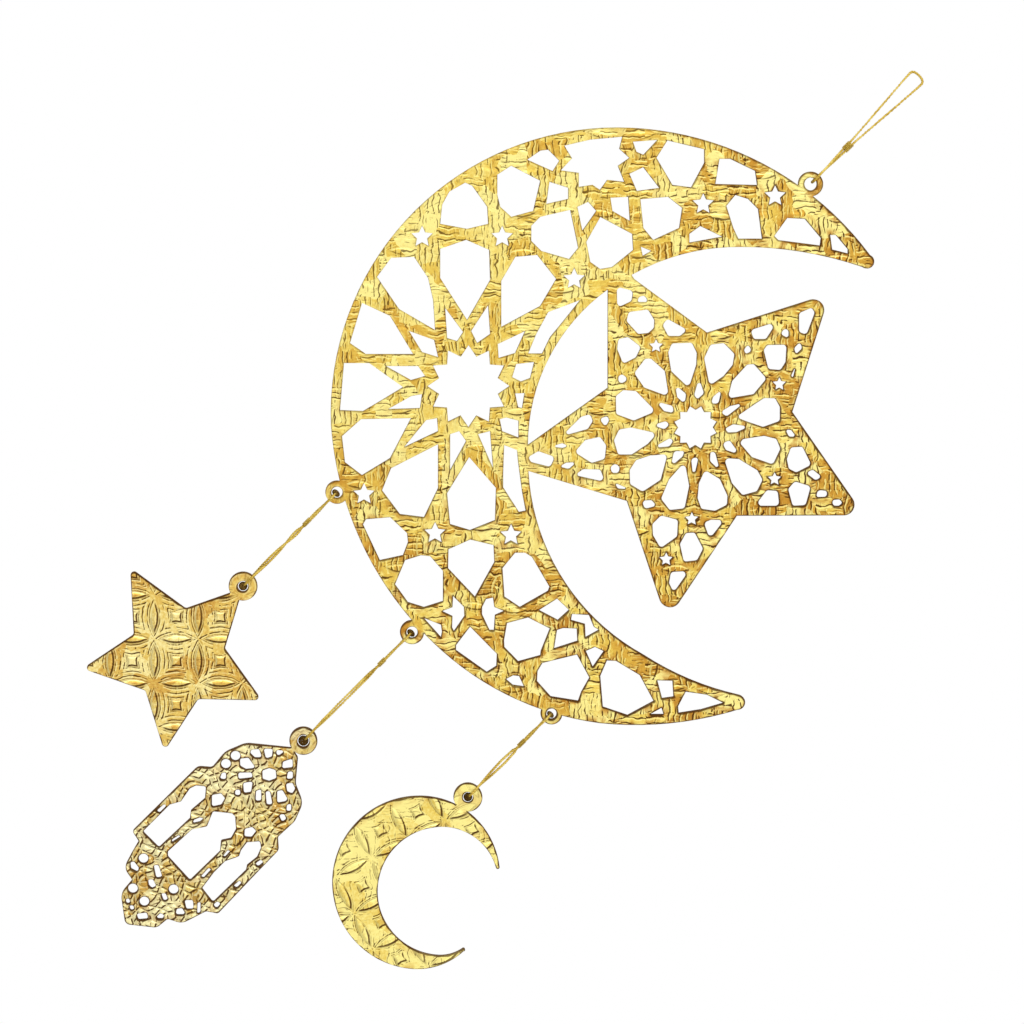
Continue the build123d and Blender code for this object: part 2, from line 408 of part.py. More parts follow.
THREAD_RADIUS = THREAD_DIAMETER / 2
SHEET_HALF = CORE_THICKNESS / 2 + FOIL_THICKNESS
STRAND_OFFSET = THREAD_RADIUS + STRAND_GAP / 2


def sheet_plane():
    """Return the plane that carries the drawing frame, with the hang eyelet below the origin."""
    turn = math.radians(HANG_TURN)
    eyelet_x, eyelet_y = HANG_EYELET[0]
    hung_x = eyelet_x * math.cos(turn) - eyelet_y * math.sin(turn)
    hung_z = eyelet_x * math.sin(turn) + eyelet_y * math.cos(turn)
    return Plane(
        origin=(-hung_x, 0, -HANG_LENGTH - hung_z),
        x_dir=(math.cos(turn), 0, math.sin(turn)),
        z_dir=(0, -1, 0),
    )


SHEET = sheet_plane()


def save(node, shape):
    """Write one node and print its volume."""
    solid = shape.solid()
    solid.label = node
    export_step(solid, f"parts/{node}.step")
    print(f"{node}: {solid.volume:.2f} mm3, valid {solid.is_valid}")


def disc(centre, radius):
    """Return a round face at a place of the drawing."""
    return Pos(*centre) * Circle(radius)


def sharp_face(corners):
    """Return the face inside a run of straight sides."""
    return make_face(Polyline(*corners, close=True))


def soft_face(corners, roundings):
    """Return the face inside the corners, each corner rounded as far as its sides allow."""
    points = [Vector(*corner) for corner in corners]
    count = len(points)
    arcs = []
    for index, (here, rounding) in enumerate(zip(points, roundings)):
        back = points[index - 1] - here
        ahead = points[(index + 1) % count] - here
        half_angle = math.radians(back.get_angle(ahead)) / 2
        reach = min(rounding / math.tan(half_angle), 0.45 * back.length, 0.45 * ahead.length)
        radius = reach * math.tan(half_angle)
        middle_way = (back.normalized() + ahead.normalized()).normalized()
        middle = here + middle_way * (reach / math.cos(half_angle) - radius)
        arcs.append((here + back.normalized() * reach, middle, here + ahead.normalized() * reach))
    edges = []
    for index, (start, middle, end) in enumerate(arcs):
        edges.append(ThreePointArc(start, middle, end))
        edges.append(Line(end, arcs[(index + 1) % count][0]))
    return make_face(edges)


def pointed_face(centre, tip_radius, inner_radius, points, first_tip):
    """Return a star face with evenly spaced tips."""
    step = 180 / points
    corners = []
    for index in range(2 * points):
        angle = math.radians(first_tip + index * step)
        radius = inner_radius if index % 2 else tip_radius
        corners.append((centre[0] + radius * math.cos(angle), centre[1] + radius * math.sin(angle)))
    return sharp_face(corners)


def laminate(name, face):
    """Write a plate's core and its two foils, cut to the same face."""
    half = CORE_THICKNESS / 2
    layers = {
        f"{name}_core": (-half, CORE_THICKNESS),
        f"{name}_front_foil": (half, FOIL_THICKNESS),
        f"{name}_back_foil": (-half - FOIL_THICKNESS, FOIL_THICKNESS),
    }
    for node, (level, depth) in layers.items():
        save(node, SHEET.location * extrude(Pos(0, 0, level) * face, depth, dir=(0, 0, 1)))


def crescent_outline():
    """Return the large crescent without its openings."""
    edges = [
        ThreePointArc(CRESCENT_TOP, CRESCENT_SHOULDER, UPPER_TIP_OUTER),
        ThreePointArc(UPPER_TIP_OUTER, UPPER_TIP_END, UPPER_TIP_INNER),
        ThreePointArc(UPPER_TIP_INNER, UPPER_ARM_UNDERSIDE, UPPER_ARM_CROWN),
        ThreePointArc(UPPER_ARM_CROWN, UPPER_ARM_INNER, MOUTH_TOP),
        ThreePointArc(MOUTH_TOP, MOUTH_UPPER_LEFT, MOUTH_LEFT),
        ThreePointArc(MOUTH_LEFT, MOUTH_LOWER_LEFT, MOUTH_BOTTOM),
        ThreePointArc(MOUTH_BOTTOM, LOWER_ARM_INNER, LOWER_TIP_INNER),
        ThreePointArc(LOWER_TIP_INNER, LOWER_TIP_END, LOWER_TIP_OUTER),
        ThreePointArc(LOWER_TIP_OUTER, LOWER_ARM_OUTER, CRESCENT_FOOT),
        ThreePointArc(CRESCENT_FOOT, CRESCENT_HEEL, CRESCENT_LOWER_BACK),
        ThreePointArc(CRESCENT_LOWER_BACK, CRESCENT_MIDDLE_BACK, CRESCENT_LEFT),
        ThreePointArc(CRESCENT_LEFT, CRESCENT_UPPER_BACK, CRESCENT_TOP),
    ]
    return make_face(edges)


def star_outline():
    """Return the big star with rounded free tips, its two other points running into the crescent."""
    star = sharp_face(list(STAR_OUTLINE.values()))
    tips = []
    for name in STAR_FREE_TIPS:
        place = Vector(*STAR_OUTLINE[name])
        tips.append(min(star.vertices(), key=lambda vertex: (Vector(vertex) - place).length))
    return fillet(tips, STAR_TIP_ROUNDING)


def crescent_plate():
    """Return the large crescent and star as one pierced face."""
    face = crescent_outline() + star_outline()
    eyelets = (HANG_EYELET, STAR_EYELET, LANTERN_EYELET, MOON_EYELET)
    face = face + [disc(centre, outer) for centre, outer, _ in eyelets]
    openings = [disc(centre, hole) for centre, _, hole in eyelets]
    openings += [sharp_face(corners) for corners in CRESCENT_CELLS.values()]
    openings += [soft_face(corners, [STAR_CELL_ROUNDING] * len(corners)) for corners in STAR_CELLS.values()]
    openings += [pointed_face(c, SPARK_TIP_RADIUS, SPARK_INNER_RADIUS, 5, 90) for c in SPARK_CENTRES]
    openings += [pointed_face(c, TWINKLE_TIP_RADIUS, TWINKLE_INNER_RADIUS, 5, 90) for c in TWINKLE_CENTRES]
    for centre, tip_radius, inner_radius, turn in (CRESCENT_ROSETTE, STAR_ROSETTE):
        openings.append(pointed_face(centre, tip_radius, inner_radius, 12, turn))
    return face - openings


def star_pendant():
    """Return the small star with its eyelet."""
    corners = [corner for pair in zip(STAR_PENDANT_TIPS, STAR_PENDANT_NOTCHES) for corner in pair]
    centre, outer, hole = STAR_PENDANT_EYELET
    star = soft_face(corners, [STAR_PENDANT_ROUNDING] * len(corners))
    return star + disc(centre, outer) - disc(centre, hole)


def moon_pendant():
    """Return the small crescent with its eyelet."""
    edges = [
        ThreePointArc(MOON_TOP, MOON_LEFT, MOON_BOTTOM),
        ThreePointArc(MOON_BOTTOM, MOON_LOWER_HORN_OUTER, MOON_LOWER_TIP_OUTER),
        ThreePointArc(MOON_LOWER_TIP_OUTER, MOON_LOWER_TIP_END, MOON_LOWER_TIP_INNER),
        ThreePointArc(MOON_LOWER_TIP_INNER, MOON_LOWER_HORN_INNER, MOON_MOUTH_BOTTOM),
        ThreePointArc(MOON_MOUTH_BOTTOM, MOON_MOUTH_LEFT, MOON_MOUTH_TOP),
        ThreePointArc(MOON_MOUTH_TOP, MOON_UPPER_HORN_INNER, MOON_UPPER_TIP_INNER),
        ThreePointArc(MOON_UPPER_TIP_INNER, MOON_UPPER_TIP_END, MOON_UPPER_TIP_OUTER),
        ThreePointArc(MOON_UPPER_TIP_OUTER, MOON_UPPER_HORN_OUTER, MOON_TOP),
    ]
    centre, outer, hole = MOON_PENDANT_EYELET
    return make_face(edges) + disc(centre, outer) - disc(centre, hole)


def lantern_pendant():
    """Return the pierced lantern with its eyelet."""
    centre, outer, hole = LANTERN_PENDANT_EYELET
    corners, roundings = zip(*LANTERN_OUTLINE.values())
    face = soft_face(corners, roundings) + disc(centre, outer)
    openings = [disc(centre, hole)]
    openings += [soft_face(corners, [LANTERN_CELL_ROUNDING] * len(corners)) for corners in LANTERN_CELLS.values()]
    openings += [disc(place, LANTERN_DOT_RADIUS) for place in LANTERN_DOTS]
    return face - openings


def hung_place(centre):
    """Return the place of a drawing point as the ornament hangs."""
    return SHEET.from_local_coords(Vector(*centre))


def bend_radius():
    """Return the radius of the thread's bend where it clears both corners of an eyelet rim."""
    return SHEET_HALF + THREAD_RADIUS + FACE_CLEARANCE


def rim_reach():
    """Return how far inside the rim the bend's centre lies from the edge of the hole."""
    clear = bend_radius() - THREAD_RADIUS - RIM_CLEARANCE
    return math.sqrt(clear**2 - SHEET_HALF**2)


def tube(points, radii):
    """Return the round thread along straight runs joined by tangent arcs."""
    path = FilletPolyline(*points, radius=radii)
    section = Plane(origin=path @ 0, z_dir=path % 0) * Circle(THREAD_RADIUS)
    thread = sweep(section, path=path)
    ideal = math.pi * THREAD_RADIUS**2 * path.length
    print(f"  strand length {path.length:.2f} mm, volume {thread.volume:.3f} of {ideal:.3f} mm3, radii {radii}")
    return thread


def knot(x, y_axis, z):
    """Return a knot round two strands that lie side by side along x, or along y when y_axis is set."""
    outline = SlotCenterToCenter(2 * STRAND_OFFSET, THREAD_DIAMETER + 2 * KNOT_WALL)
    barrel = extrude(outline, KNOT_LENGTH / 2, both=True)
    ends = barrel.faces().filter_by(Axis.Z)
    barrel = fillet([edge for end in ends for edge in end.edges()], KNOT_ROUNDING)
    slot = SlotCenterToCenter(2 * STRAND_OFFSET, THREAD_DIAMETER + 2 * KNOT_FIT)
    passage = extrude(slot, KNOT_LENGTH, both=True)
    turn = 90 if y_axis else 0
    return Pos(x, 0, z) * Rot(0, 0, turn) * (barrel - passage)


def pendant_thread(name, upper, lower):
    """Write a closed thread loop from an eyelet of the crescent to a pendant's eyelet, and its knot."""
    top = hung_place(upper[0])
    bottom = hung_place(lower[0])
    radius = bend_radius()
    top_bend = top.Z - upper[2] - rim_reach()
    low_bend = bottom.Z + lower[2] + rim_reach()
    flare = NECK_STRAIGHT
    points = [
        (0, 0, top_bend + radius),
        (0, -radius, top_bend + radius),
        (0, -radius, top_bend - flare),
        (0, -STRAND_OFFSET, top_bend - NECK_LENGTH),
        (0, -STRAND_OFFSET, low_bend + NECK_LENGTH),
        (0, -radius, low_bend + flare),
        (0, -radius, low_bend - radius),
        (0, 0, low_bend - radius),
    ]
    bend = radius * BEND_FULLNESS
    radii = [bend, NECK_SOFTNESS, NECK_SOFTNESS, NECK_SOFTNESS, NECK_SOFTNESS, bend]
    print(f"{name} runs from z {top_bend:.2f} to {low_bend:.2f} at x {top.X:.2f}, pendant eyelet x {bottom.X:.2f}")
    strand = tube(points, radii)
    save(f"{name}_thread", Pos(top.X, 0, 0) * (strand + Rot(0, 0, 180) * strand))
    save(f"{name}_knot", knot(top.X, True, top_bend - NECK_LENGTH - KNOT_LENGTH))


def hang_thread():
    """Write the hanging loop, through the crescent's eyelet and over the hook, and its knot."""
    radius = bend_radius()
    low_bend = -HANG_LENGTH + HANG_EYELET[2] + rim_reach()
    flare = NECK_STRAIGHT
    knot_low = low_bend + HANG_TWIST_LENGTH
    knot_high = knot_low + KNOT_LENGTH + HANG_KNOT_ROOM
    half = HANG_SPREAD / 2
    points = [
        (0, 0, low_bend - radius),
        (0, -radius, low_bend - radius),
        (0, -radius, low_bend + flare),
        (-STRAND_OFFSET, 0, knot_low),
        (-STRAND_OFFSET, 0, knot_high),
        (-half, 0, -half),
        (-half, 0, THREAD_RADIUS),
        (0, 0, THREAD_RADIUS),
    ]
    radii = [radius * BEND_FULLNESS, NECK_SOFTNESS, NECK_SOFTNESS, HANG_SOFTNESS, HANG_SOFTNESS, half * BEND_FULLNESS]
    strand = tube(points, radii)
    save("hang_thread", strand + Rot(0, 0, 180) * strand)
    save("hang_knot", knot(0, False, (knot_low + knot_high) / 2))


laminate("crescent", crescent_plate())
laminate("star_pendant", star_pendant())
laminate("lantern_pendant", lantern_pendant())
laminate("moon_pendant", moon_pendant())
hang_thread()
pendant_thread("star", STAR_EYELET, STAR_PENDANT_EYELET)
pendant_thread("lantern", LANTERN_EYELET, LANTERN_PENDANT_EYELET)
pendant_thread("moon", MOON_EYELET, MOON_PENDANT_EYELET)
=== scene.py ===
"""Eid crescent ornament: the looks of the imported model, hung and lit as in the photograph."""

import logging
import math
from dataclasses import dataclass
from enum import Enum
from typing import Any, Mapping, Sequence

import bmesh
import bpy
from mathutils import Matrix, Vector
from mathutils.kdtree import KDTree


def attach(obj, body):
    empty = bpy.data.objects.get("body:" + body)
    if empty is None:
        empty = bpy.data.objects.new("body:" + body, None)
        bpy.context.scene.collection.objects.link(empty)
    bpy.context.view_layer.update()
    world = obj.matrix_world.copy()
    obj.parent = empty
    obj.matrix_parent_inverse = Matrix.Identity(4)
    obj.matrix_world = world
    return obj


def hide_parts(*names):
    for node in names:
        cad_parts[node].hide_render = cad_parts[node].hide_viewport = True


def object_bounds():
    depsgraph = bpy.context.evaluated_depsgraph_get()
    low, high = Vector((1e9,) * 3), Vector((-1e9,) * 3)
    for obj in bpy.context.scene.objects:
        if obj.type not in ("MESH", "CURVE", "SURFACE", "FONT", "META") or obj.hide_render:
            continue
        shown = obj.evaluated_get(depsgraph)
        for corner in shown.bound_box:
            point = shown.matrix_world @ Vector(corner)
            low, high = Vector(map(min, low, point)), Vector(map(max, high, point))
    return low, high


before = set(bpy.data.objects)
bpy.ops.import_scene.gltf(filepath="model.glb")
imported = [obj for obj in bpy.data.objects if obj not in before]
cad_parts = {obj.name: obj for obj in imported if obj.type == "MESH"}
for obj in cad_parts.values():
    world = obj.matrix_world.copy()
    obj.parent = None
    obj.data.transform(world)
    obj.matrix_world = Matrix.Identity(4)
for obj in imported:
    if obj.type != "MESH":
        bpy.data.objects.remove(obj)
CAD_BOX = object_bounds()

LOG = logging.getLogger("ornament")
MM = 0.001
Point = tuple[float, float]
Span = tuple[float, float]
Colour = tuple[float, float, float, float]
# A plain number or a shader value
Number = Any

# Tolerances: lengths in metres, then an angle in radians between faces, then a share of a grid step
FLAT = 1e-6
WELD = 1e-7
THIN = 1e-8
CREASE = 0.1
ON_GRID = 1e-3


class Face(Enum):
    """The side of a plate that a foil covers."""

    FRONT = "front"
    BACK = "back"


class Stage(Enum):
    """Names of the things round the object."""

    FLOOR = "floor"
    KEY = "key_light"
    FILL = "fill_light"
    CAMERA = "camera"


@dataclass(frozen=True)
class Eyelet:
    """A ringed hole of a plate: its drawing place and the radii of its ring and hole, in millimetres."""

    centre: Point
    ring: float
    hole: float


HANG_EYELET = Eyelet((45.1, 60.25), 3.1, 1.6)
STAR_EYELET = Eyelet((-73.25, -16.75), 2.9, 1.4)
LANTERN_EYELET = Eyelet((-54.5, -51.75), 3.0, 1.4)
MOON_EYELET = Eyelet((-19.6, -72.2), 2.7, 1.3)
STAR_PENDANT_EYELET = Eyelet((-96.7, -40.2), 3.6, 1.3)
LANTERN_PENDANT_EYELET = Eyelet((-81.65, -78.9), 3.5, 1.5)
MOON_PENDANT_EYELET = Eyelet((-40.5, -93.1), 3.6, 1.3)


@dataclass(frozen=True)
class DrawingFrame:
    """The flat drawing of the plates, in millimetres, and how it hangs in the row frame."""

    turn: float = math.radians(45.0)
    eyelet: Point = HANG_EYELET.centre
    hang_length: float = 38.0

    @property
    def right(self) -> Vector:
        """The drawing's x direction as it hangs."""
        return Vector((math.cos(self.turn), 0.0, math.sin(self.turn)))

    @property
    def up(self) -> Vector:
        """The drawing's y direction as it hangs."""
        return Vector((-math.sin(self.turn), 0.0, math.cos(self.turn)))

    @property
    def origin(self) -> Vector:
        """The drawing's origin in the row frame, in metres."""
        eyelet = self.right * self.eyelet[0] + self.up * self.eyelet[1]
        return (Vector((0.0, 0.0, -self.hang_length)) - eyelet) * MM

    def place(self, x: float, y: float) -> Vector:
        """Return a drawing point in the row frame.

        Args:
            x: Distance to the right, in millimetres.
            y: Distance up, in millimetres.

        Returns:
            The point in metres, in the middle of the sheet.
        """
        return self.origin + (self.right * x + self.up * y) * MM

    def read(self, point: Vector) -> Point:
        """Return the drawing place of a row point, in millimetres."""
        offset = (point - self.origin) / MM
        return offset.dot(self.right), offset.dot(self.up)


DRAWING = DrawingFrame()


class Value:
    """A number socket of a shader that takes part in Python arithmetic."""

    def __init__(self, shader: "Shader", socket: bpy.types.NodeSocket) -> None:
        """Keep the socket and the shader that owns it."""
        self.shader = shader
        self.socket = socket

    def maths(self, operation: str, *others: Any) -> "Value":
        """Return a Math node's result on this value and others."""
        node = self.shader.node("ShaderNodeMath", {"operation": operation}, [self, *others])
        return Value(self.shader, node.outputs[0])

    def reflected(self, operation: str, other: float) -> "Value":
        """Return a Math node's result with a plain number first."""
        node = self.shader.node("ShaderNodeMath", {"operation": operation}, [other, self])
        return Value(self.shader, node.outputs[0])

    def __add__(self, other: Any) -> "Value":
        """Add."""
        return self.maths("ADD", other)

    __radd__ = __add__

    def __sub__(self, other: Any) -> "Value":
        """Take away."""
        return self.maths("SUBTRACT", other)

    def __rsub__(self, other: float) -> "Value":
        """Take this value away from a number."""
        return self.reflected("SUBTRACT", other)

    def __mul__(self, other: Any) -> "Value":
        """Multiply."""
        return self.maths("MULTIPLY", other)

    __rmul__ = __mul__

    def __truediv__(self, other: Any) -> "Value":
        """Divide."""
        return self.maths("DIVIDE", other)

    def __abs__(self) -> "Value":
        """Drop the sign."""
        return self.maths("ABSOLUTE")

    def above(self, limit: float) -> "Value":
        """Return 1 where the value is over the limit, else 0."""
        return self.maths("GREATER_THAN", limit)

    def fraction(self) -> "Value":
        """Return what follows the decimal point."""
        return self.maths("FRACT")

    def floor(self) -> "Value":
        """Return the whole number below."""
        return self.maths("FLOOR")

    def sine(self) -> "Value":
        """Return the sine of an angle in radians."""
        return self.maths("SINE")

    def smaller(self, other: Any) -> "Value":
        """Return the smaller of two values."""
        return self.maths("MINIMUM", other)

    def larger(self, other: Any) -> "Value":
        """Return the larger of two values."""
        return self.maths("MAXIMUM", other)

    def smooth(self, low: float, high: float) -> "Value":
        """Return a soft step.

        Args:
            low: Where it is 0.
            high: Where it is 1.

        Returns:
            The step, from 0 to 1.
        """
        settings = {"interpolation_type": "SMOOTHSTEP"}
        node = self.shader.node("ShaderNodeMapRange", settings, {"Value": self, "From Min": low, "From Max": high})
        return Value(self.shader, node.outputs[0])


class Shader:
    """One node material, built from expressions."""

    def __init__(self, name: str) -> None:
        """Start an empty node material with a Principled shader on its output.

        Args:
            name: The material's name.
        """
        self.material = bpy.data.materials.new(name)
        self.material.use_nodes = True
        self.tree = self.material.node_tree
        self.tree.nodes.clear()
        self.surface = self.node("ShaderNodeBsdfPrincipled")
        self.node("ShaderNodeOutputMaterial", {}, {"Surface": self.surface.outputs[0]})

    def node(
        self,
        kind: str,
        settings: Mapping[str, Any] | None = None,
        inputs: Mapping[str, Any] | Sequence[Any] | None = None,
    ) -> bpy.types.Node:
        """Add a node.

        Args:
            kind: The node's type.
            settings: Its own settings, set first; stops fills a colour ramp.
            inputs: Values or links of its sockets, by name or in order.

        Returns:
            The new node.
        """
        made = self.tree.nodes.new(kind)
        for key, setting in (settings or {}).items():
            if key == "stops":
                self.fill_ramp(made.color_ramp, setting)
            else:
                setattr(made, key, setting)
        pairs = inputs.items() if isinstance(inputs, Mapping) else enumerate(inputs or [])
        for key, value in pairs:
            self.feed(made.inputs[key], value)
        return made

    def feed(self, socket: bpy.types.NodeSocket, value: Any) -> None:
        """Link a value to a socket, or set the socket's own number.

        Args:
            socket: The socket to feed.
            value: A value, another socket, or a plain number or colour.
        """
        if isinstance(value, Value):
            self.tree.links.new(value.socket, socket)
        elif isinstance(value, bpy.types.NodeSocket):
            self.tree.links.new(value, socket)
        else:
            socket.default_value = value

    @staticmethod
    def fill_ramp(ramp: bpy.types.ColorRamp, stops: Sequence[tuple[float, Colour]]) -> None:
        """Give a colour ramp its stops.

        Args:
            ramp: The ramp to fill.
            stops: Each stop's place from 0 to 1 and its colour.
        """
        while len(ramp.elements) < len(stops):
            ramp.elements.new(0.5)
        for element, (position, colour) in zip(ramp.elements, stops):
            element.position = position
            element.color = colour

    def drawing_place(self) -> tuple[Value, Value]:
        """Find the shaded point in the drawing.

        Returns:
            Its distances to the right and up, in millimetres.
        """
        point = self.node("ShaderNodeTexCoord").outputs["Object"]
        places = []
        for direction in (DRAWING.right, DRAWING.up):
            dot = self.node("ShaderNodeVectorMath", {"operation": "DOT_PRODUCT"}, [point, tuple(direction / MM)])
            places.append(Value(self, dot.outputs["Value"]) - DRAWING.origin.dot(direction) / MM)
        return places[0], places[1]

    def vector(self, x: Any, y: Any, z: Any = 0.0) -> bpy.types.NodeSocket:
        """Return three values as one vector."""
        return self.node("ShaderNodeCombineXYZ", {}, [x, y, z]).outputs[0]

    def cloud(self, vector: bpy.types.NodeSocket, scale: float, detail: float = 2.0) -> Value:
        """Return soft noise from 0 to 1."""
        inputs = {"Vector": vector, "Scale": scale, "Detail": detail}
        return Value(self, self.node("ShaderNodeTexNoise", {}, inputs).outputs[0])

    def mix(self, factor: Any, first: Any, second: Any) -> bpy.types.NodeSocket:
        """Return a blend of two colours.

        Args:
            factor: The second colour's share, from 0 to 1.
            first: The first colour.
            second: The second colour.

        Returns:
            The blended colour's socket.
        """
        node = self.node("ShaderNodeMix", {"data_type": "RGBA"})
        self.feed(node.inputs[0], factor)
        self.feed(node.inputs[6], first)
        self.feed(node.inputs[7], second)
        return node.outputs[2]

    def attribute(self, name: str) -> Value:
        """Return a mesh attribute as a number."""
        return Value(self, self.node("ShaderNodeAttribute", {"attribute_name": name}).outputs["Fac"])

    def finish(self, surface: Mapping[str, Any], height: Value, strength: float, distance: float) -> None:
        """Set the surface's sockets and give it its bumps.

        Args:
            surface: Values of the Principled shader's sockets, by name.
            height: The bumps' relief.
            strength: How strongly the bumps show.
            distance: The bumps' height, in millimetres.
        """
        inputs = {"Strength": strength, "Distance": distance * MM, "Height": height}
        bump = self.node("ShaderNodeBump", {}, inputs)
        for name, value in surface.items():
            self.feed(self.surface.inputs[name], value)
        self.feed(self.surface.inputs["Normal"], bump.outputs[0])


def floor(value: Number) -> Number:
    """Return the whole number below a number or a shader value."""
    return value.floor() if isinstance(value, Value) else math.floor(value)


def sine(value: Number) -> Number:
    """Return the sine of a number or a shader value."""
    return value.sine() if isinstance(value, Value) else math.sin(value)


def larger(first: Number, second: Number) -> Number:
    """Return the larger of two numbers or shader values."""
    return first.larger(second) if isinstance(first, Value) else max(first, second)


def smaller(first: Number, second: Number) -> Number:
    """Return the smaller of two numbers or shader values."""
    return first.smaller(second) if isinstance(first, Value) else min(first, second)


def soft_step(value: Number, low: float, high: float) -> Number:
    """Return a soft step of a number or a shader value.

    Args:
        value: The number or shader value.
        low: Where the step is 0.
        high: Where the step is 1.

    Returns:
        The step, from 0 to 1.
    """
    if isinstance(value, Value):
        return value.smooth(low, high)
    share = min(max((value - low) / (high - low), 0.0), 1.0)
    return share * share * (3.0 - 2.0 * share)


def groove(phase: Value, line: Span) -> Value:
    """Return a line in the middle of each whole step of a phase, from 1 on it to 0 off it."""
    return 1.0 - soft_step(abs(phase.fraction() - 0.5) * 2.0, *line)


@dataclass(frozen=True)
class PetalEmboss:
    """Overlapping-circle embossing: petals on the sides of each square cell and a button in its middle.

    The same formulas serve the mesh and the shader. Sizes are in millimetres, and the turn is in degrees.
    """

    centre: Point
    cell: float
    turn: float = 0.0
    petal_width: float = 2.5
    petal_share: float = 0.8
    button: float = 2.7
    rise: float = 0.28
    button_rise: float = 0.8
    sway: float = 0.0
    hatch_pitch: float = 1.2
    hatch_depth: float = 0.55
    hatch_reach: float = 2.1
    painted: float = 1.0
    # Strength of the painted shade in the outline grooves
    groove_shading: float = 0.45
    patchy: float = 0.0
    pinch: float = 0.2
    wave_pace: Point = (0.27, 0.23)
    wave_start: Point = (1.0, 2.0)
    crown: Span = (-0.1, 0.45)
    button_slope: Span = (-0.15, 0.35)
    button_crown: Span = (-0.1, 0.35)
    crown_depth: float = 0.75
    outline_depth: float = 0.4
    outline_fade: Span = (0.08, 0.4)
    # How the painted shade in the outline grooves fades, and where it breaks off
    groove_shade_fade: Span = (0.04, 0.24)
    groove_shade_breaks: Span = (0.36, 0.46)
    hatch_line: Span = (0.1, 0.5)
    hatch_start: Span = (0.3, 0.5)
    hatch_end: float = 0.3
    hatch_breaks: Span = (0.4, 0.5)
    hatch_ripple: float = 0.7
    worn_fade: Span = (0.42, 0.58)

    def shapes(self, x: Number, y: Number) -> tuple[Number, Number]:
        """Find a drawing place in its cell.

        Args:
            x: Distance to the right, in millimetres.
            y: Distance up, in millimetres.

        Returns:
            How far the place lies inside the nearest petal and inside the button.
        """
        across = x + sine(y * self.wave_pace[0] + self.wave_start[0]) * self.sway
        up = y + sine(x * self.wave_pace[1] + self.wave_start[1]) * self.sway
        angle = math.radians(self.turn)
        right = across - self.centre[0]
        rise = up - self.centre[1]
        u = (right * math.cos(angle) + rise * math.sin(angle)) / self.cell
        v = (rise * math.cos(angle) - right * math.sin(angle)) / self.cell
        u = abs(u - floor(u + 0.5)) * self.cell
        v = abs(v - floor(v + 0.5)) * self.cell
        petal = larger(self.lens(u, self.cell / 2 - v), self.lens(v, self.cell / 2 - u))
        button = self.button / 2 - larger(u, v) * (1.0 + self.pinch) + smaller(u, v) * self.pinch
        return petal, button

    def lens(self, along: Number, beside: Number) -> Number:
        """Return how far a place lies inside a lens-shaped petal."""
        share = along / (self.cell / 2 * self.petal_share)
        return (1.0 - share * share) * (self.petal_width / 2) - beside

    def level(self, x: float, y: float) -> float:
        """Return the mesh's relief at a drawing place.

        Args:
            x: Distance to the right, in millimetres.
            y: Distance up, in millimetres.

        Returns:
            The height, in millimetres.
        """
        petal, button = self.shapes(x, y)
        pillow = soft_step(petal, self.crown[0], self.petal_width * self.crown[1])
        return self.rise * (pillow + self.button_rise * soft_step(button, *self.button_slope))

    def height(self, x: Value, y: Value, look: "PatchLook") -> Value:
        """Return the finer painted relief of a shaded point.

        Args:
            x: The point's drawing place, to the right.
            y: The point's drawing place, up.
            look: What the foil's patch gives the point.

        Returns:
            The relief, with raised shapes and sunk hatching.
        """
        petal, button = self.shapes(x, y)
        pillow = soft_step(petal, *self.crown)
        bump = soft_step(button, *self.button_crown)
        outline = 1.0 - soft_step(smaller(abs(petal), abs(button)), *self.outline_fade)
        outward = 0.0 - larger(petal, button)
        phase = (outward + look.ripple * self.hatch_ripple) / self.hatch_pitch
        hatch = groove(phase, self.hatch_line) * soft_step(outward, *self.hatch_start)
        hatch = hatch * (1.0 - soft_step(outward, self.hatch_reach, self.hatch_reach + self.hatch_end))
        hatch = hatch * soft_step(look.broken, *self.hatch_breaks) * self.hatch_depth
        shapes = pillow * self.crown_depth + bump * self.crown_depth - outline * self.outline_depth
        return shapes * self.shown(look) * self.painted - hatch

    def groove_shade(self, x: Value, y: Value, look: "PatchLook") -> Value:
        """Return the painted shade in the pattern's outline grooves at a shaded point.

        Args:
            x: The point's drawing place, to the right.
            y: The point's drawing place, up.
            look: What the foil's patch gives the point.

        Returns:
            The darkness, from 0 to 1.
        """
        petal, button = self.shapes(x, y)
        outline = 1.0 - soft_step(smaller(abs(petal), abs(button)), *self.groove_shade_fade)
        return outline * self.shown(look) * soft_step(look.broken, *self.groove_shade_breaks) * self.groove_shading

    def shown(self, look: "PatchLook") -> Value:
        """Return how much of the pattern the wear has left."""
        return (soft_step(look.worn, *self.worn_fade) - 1.0) * self.patchy + 1.0


